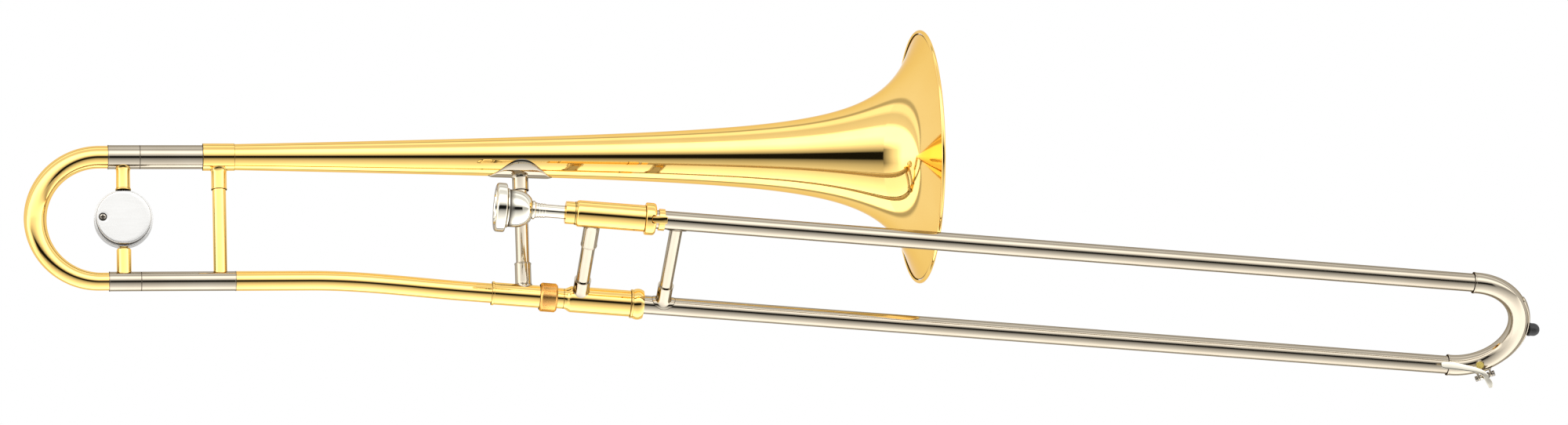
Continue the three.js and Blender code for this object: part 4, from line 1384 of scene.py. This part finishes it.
AZIMUTH = math.radians(-9.824)  # the camera stands a little to the left of straight on
ELEVATION = math.radians(-14)  # and below
ROLL = math.radians(-2.532)
DISTANCE = 4.036  # metres
LENS = 117.79
SENSOR = 36
AIM = Vector((-0.0030, 0, 0.0011))  # metres from the middle of the object's box
TO_CAMERA = Vector(
    (
        math.sin(AZIMUTH) * math.cos(ELEVATION),
        -math.cos(AZIMUTH) * math.cos(ELEVATION),
        math.sin(ELEVATION),
    )
)
LEVEL = Vector((math.cos(AZIMUTH), math.sin(AZIMUTH), 0))
OVER = TO_CAMERA.cross(LEVEL)
RIGHT = LEVEL * math.cos(ROLL) + OVER * math.sin(ROLL)
UP = OVER * math.cos(ROLL) - LEVEL * math.sin(ROLL)


def camera():
    target = (cad_box[0] + cad_box[1]) / 2 + AIM
    data = bpy.data.cameras.new("camera")
    data.lens = LENS
    data.sensor_width = SENSOR
    data.clip_end = 60
    made = bpy.data.objects.new("camera", data)
    turn = Matrix((RIGHT, UP, TO_CAMERA)).transposed().to_4x4()
    made.matrix_world = Matrix.Translation(target + TO_CAMERA * DISTANCE) @ turn
    bpy.context.scene.collection.objects.link(made)
    bpy.context.scene.camera = made


# Brightness of the light tent round the object, by the angle in degrees above the way from the
# object to the front: 0 is the dark slit in the front wall, 90 overhead and -90 below.
BACK = 1.0
TENT = [
    (-126, BACK),
    (-121, 0.5),
    (-116, 0.5),
    (-112, 2.4),
    (-84, 2.3),
    (-68, 1.7),
    (-48, 1.2),
    (-30, 0.86),
    (-18, 0.58),
    (-9, 0.25),
    (-5.5, 0.01),
    (8.5, 0.01),
    (12, 0.4),
    (20, 0.95),
    (30, 1.7),
    (44, 2.5),
    (60, 2.4),
    (67, 1.0),
    (88, 0.87),
    (96, 1.4),
    (107, 1.4),
    (112, 0.55),
    (117, 0.55),
    (121, BACK),
]
# The same for the side wall on the left, which has no slit
SIDE = [
    (-126, BACK),
    (-121, 0.5),
    (-116, 0.5),
    (-112, 2.0),
    (-84, 2.0),
    (-66, 1.5),
    (-44, 1.4),
    (0, 2.5),
    (60, 2.4),
    (69, 1.0),
    (88, 0.87),
    (96, 1.3),
    (107, 1.3),
    (112, 0.55),
    (117, 0.55),
    (121, BACK),
]
# Where the two walls meet, and how the side wall brightens away from there: by the direction's
# share along the camera's right
CORNER_AT = -0.66
DIP = [(-0.91, 1.0), (-0.85, 0.55), (-0.79, 0.42), (-0.73, 0.26), (CORNER_AT, 0.1)]
# The slit ends on the right as well, where the front wall is plain
SLIT_END = 0.7
PLAIN = [(-48, 1.2), (-30, 0.9), (-9, 0.6), (0, 0.5), (10, 0.6), (20, 1.0), (30, 1.7), (44, 2.5)]
TENT_LIMIT = 2.6


def dot(tree, value, way):
    made = tree.nodes.new("ShaderNodeVectorMath")
    made.operation = "DOT_PRODUCT"
    made.inputs[1].default_value = way
    tree.links.new(value, made.inputs[0])
    return made.outputs["Value"]


def ramp(tree, value, low, high, stops):
    """Grey values at places between low and high, straight from one to the next."""
    share = tree.nodes.new("ShaderNodeMapRange")
    share.inputs["From Min"].default_value = low
    share.inputs["From Max"].default_value = high
    tree.links.new(value, share.inputs["Value"])
    made = tree.nodes.new("ShaderNodeValToRGB")
    elements = made.color_ramp.elements
    while len(elements) < len(stops):
        elements.new(0.5)
    for element, (place, grey) in zip(elements, stops):
        element.position = (place - low) / (high - low)
        element.color = (grey, grey, grey, 1)
    tree.links.new(share.outputs["Result"], made.inputs["Fac"])
    return made.outputs["Color"]


def tent():
    """The world: soft bands of light for reflections, and plain white where the camera looks."""
    world = bpy.data.worlds.new("tent")
    bpy.context.scene.world = world
    world.use_nodes = True
    tree = world.node_tree
    tree.nodes.clear()
    way = tree.nodes.new("ShaderNodeTexCoord").outputs["Generated"]
    turn = tree.nodes.new("ShaderNodeMath")
    turn.operation = "ARCTAN2"
    tree.links.new(dot(tree, way, UP), turn.inputs[0])
    tree.links.new(dot(tree, way, TO_CAMERA), turn.inputs[1])
    angle = tree.nodes.new("ShaderNodeMath")
    angle.operation = "DEGREES"
    tree.links.new(turn.outputs[0], angle.inputs[0])
    angle = angle.outputs[0]
    sideways = dot(tree, way, RIGHT)
    front = ramp(tree, angle, -180, 180, [(a, b / TENT_LIMIT) for a, b in TENT])
    plain = ramp(tree, angle, -180, 180, [(a, b / TENT_LIMIT) for a, b in PLAIN])
    past_slit = ramp(tree, sideways, -1, 1, [(SLIT_END - 0.02, 0), (SLIT_END + 0.02, 1)])
    by_slit = ramp(tree, angle, -180, 180, [(-48, 0), (-47, 1), (43, 1), (44, 0)])
    past_slit = mixed(tree, 1.0, past_slit, by_slit, "MULTIPLY")
    front = mixed(tree, past_slit, front, plain)
    side = ramp(tree, angle, -180, 180, [(a, b / TENT_LIMIT) for a, b in SIDE])
    near_slit = ramp(tree, angle, -180, 180, [(-45, 0), (-14, 1), (14, 1), (32, 0)])
    shaded = mixed(tree, 1.0, side, ramp(tree, sideways, -1, 1, DIP), "MULTIPLY")
    side = mixed(tree, near_slit, side, shaded)
    corner = ramp(tree, sideways, -1, 1, [(CORNER_AT - 0.004, 0), (CORNER_AT + 0.004, 1)])
    light = tree.nodes.new("ShaderNodeBackground")
    light.inputs["Strength"].default_value = TENT_LIMIT
    tree.links.new(mixed(tree, corner, side, front), light.inputs["Color"])
    backdrop = tree.nodes.new("ShaderNodeBackground")
    backdrop.inputs["Color"].default_value = (1, 1, 1, 1)
    path = tree.nodes.new("ShaderNodeLightPath")
    mix = tree.nodes.new("ShaderNodeMixShader")
    tree.links.new(path.outputs["Is Camera Ray"], mix.inputs["Fac"])
    tree.links.new(light.outputs[0], mix.inputs[1])
    tree.links.new(backdrop.outputs[0], mix.inputs[2])
    output = tree.nodes.new("ShaderNodeOutputWorld")
    tree.links.new(mix.outputs[0], output.inputs["Surface"])


def floor():
    """A round pale floor well below the object, which is held up in the air."""
    RADIUS = 1900
    DEPTH = 1.35  # metres below the row's origin
    made, _, shader = finish("floor")
    shader.inputs["Base Color"].default_value = (0.88, 0.88, 0.87, 1)
    shader.inputs["Roughness"].default_value = 0.8
    line = placed((centre_of("bell_brace_tube").x, 0, -DEPTH), Z, X)
    points, faces = formed(line, [(-20, 0), (-20, RADIUS), (0, RADIUS), (0, 0)], 128)
    mesh = bpy.data.meshes.new("floor")
    mesh.from_pydata(points, [], faces)
    mesh.materials.append(made)
    ground = bpy.data.objects.new("floor", mesh)
    ground.visible_glossy = False
    bpy.context.scene.collection.objects.link(ground)


def soft_light():
    """A large soft lamp above the front."""
    AWAY = 2.6  # metres from the middle of the object's box
    data = bpy.data.lights.new("key", "AREA")
    data.shape = "RECTANGLE"
    data.size = 2.4
    data.size_y = 1.2
    data.energy = 20
    lamp = bpy.data.objects.new("key", data)
    target = (cad_box[0] + cad_box[1]) / 2
    way = (TO_CAMERA * math.cos(math.radians(50)) + UP * math.sin(math.radians(50))).normalized()
    facing = way.to_track_quat("Z", "Y").to_matrix().to_4x4()
    lamp.matrix_world = Matrix.Translation(target + way * AWAY) @ facing
    lamp.visible_camera = False
    lamp.visible_glossy = False
    bpy.context.scene.collection.objects.link(lamp)


camera()
tent()
floor()
soft_light()
bpy.context.scene.view_settings.view_transform = "Standard"
bell()
bell_legs()
gooseneck()
neck_joint()
bell_brace()
rear_stay()
tuning_bow()
counterweight()
slide_tenon()
cork_barrels()
mouthpiece_receiver()
inner_tubes()
inner_brace()
lock_ring()
mouthpiece()
outer_tubes()
lock_collar()
outer_brace()
slide_bow()
water_key_mount()
water_key_pin()
water_key_lever()
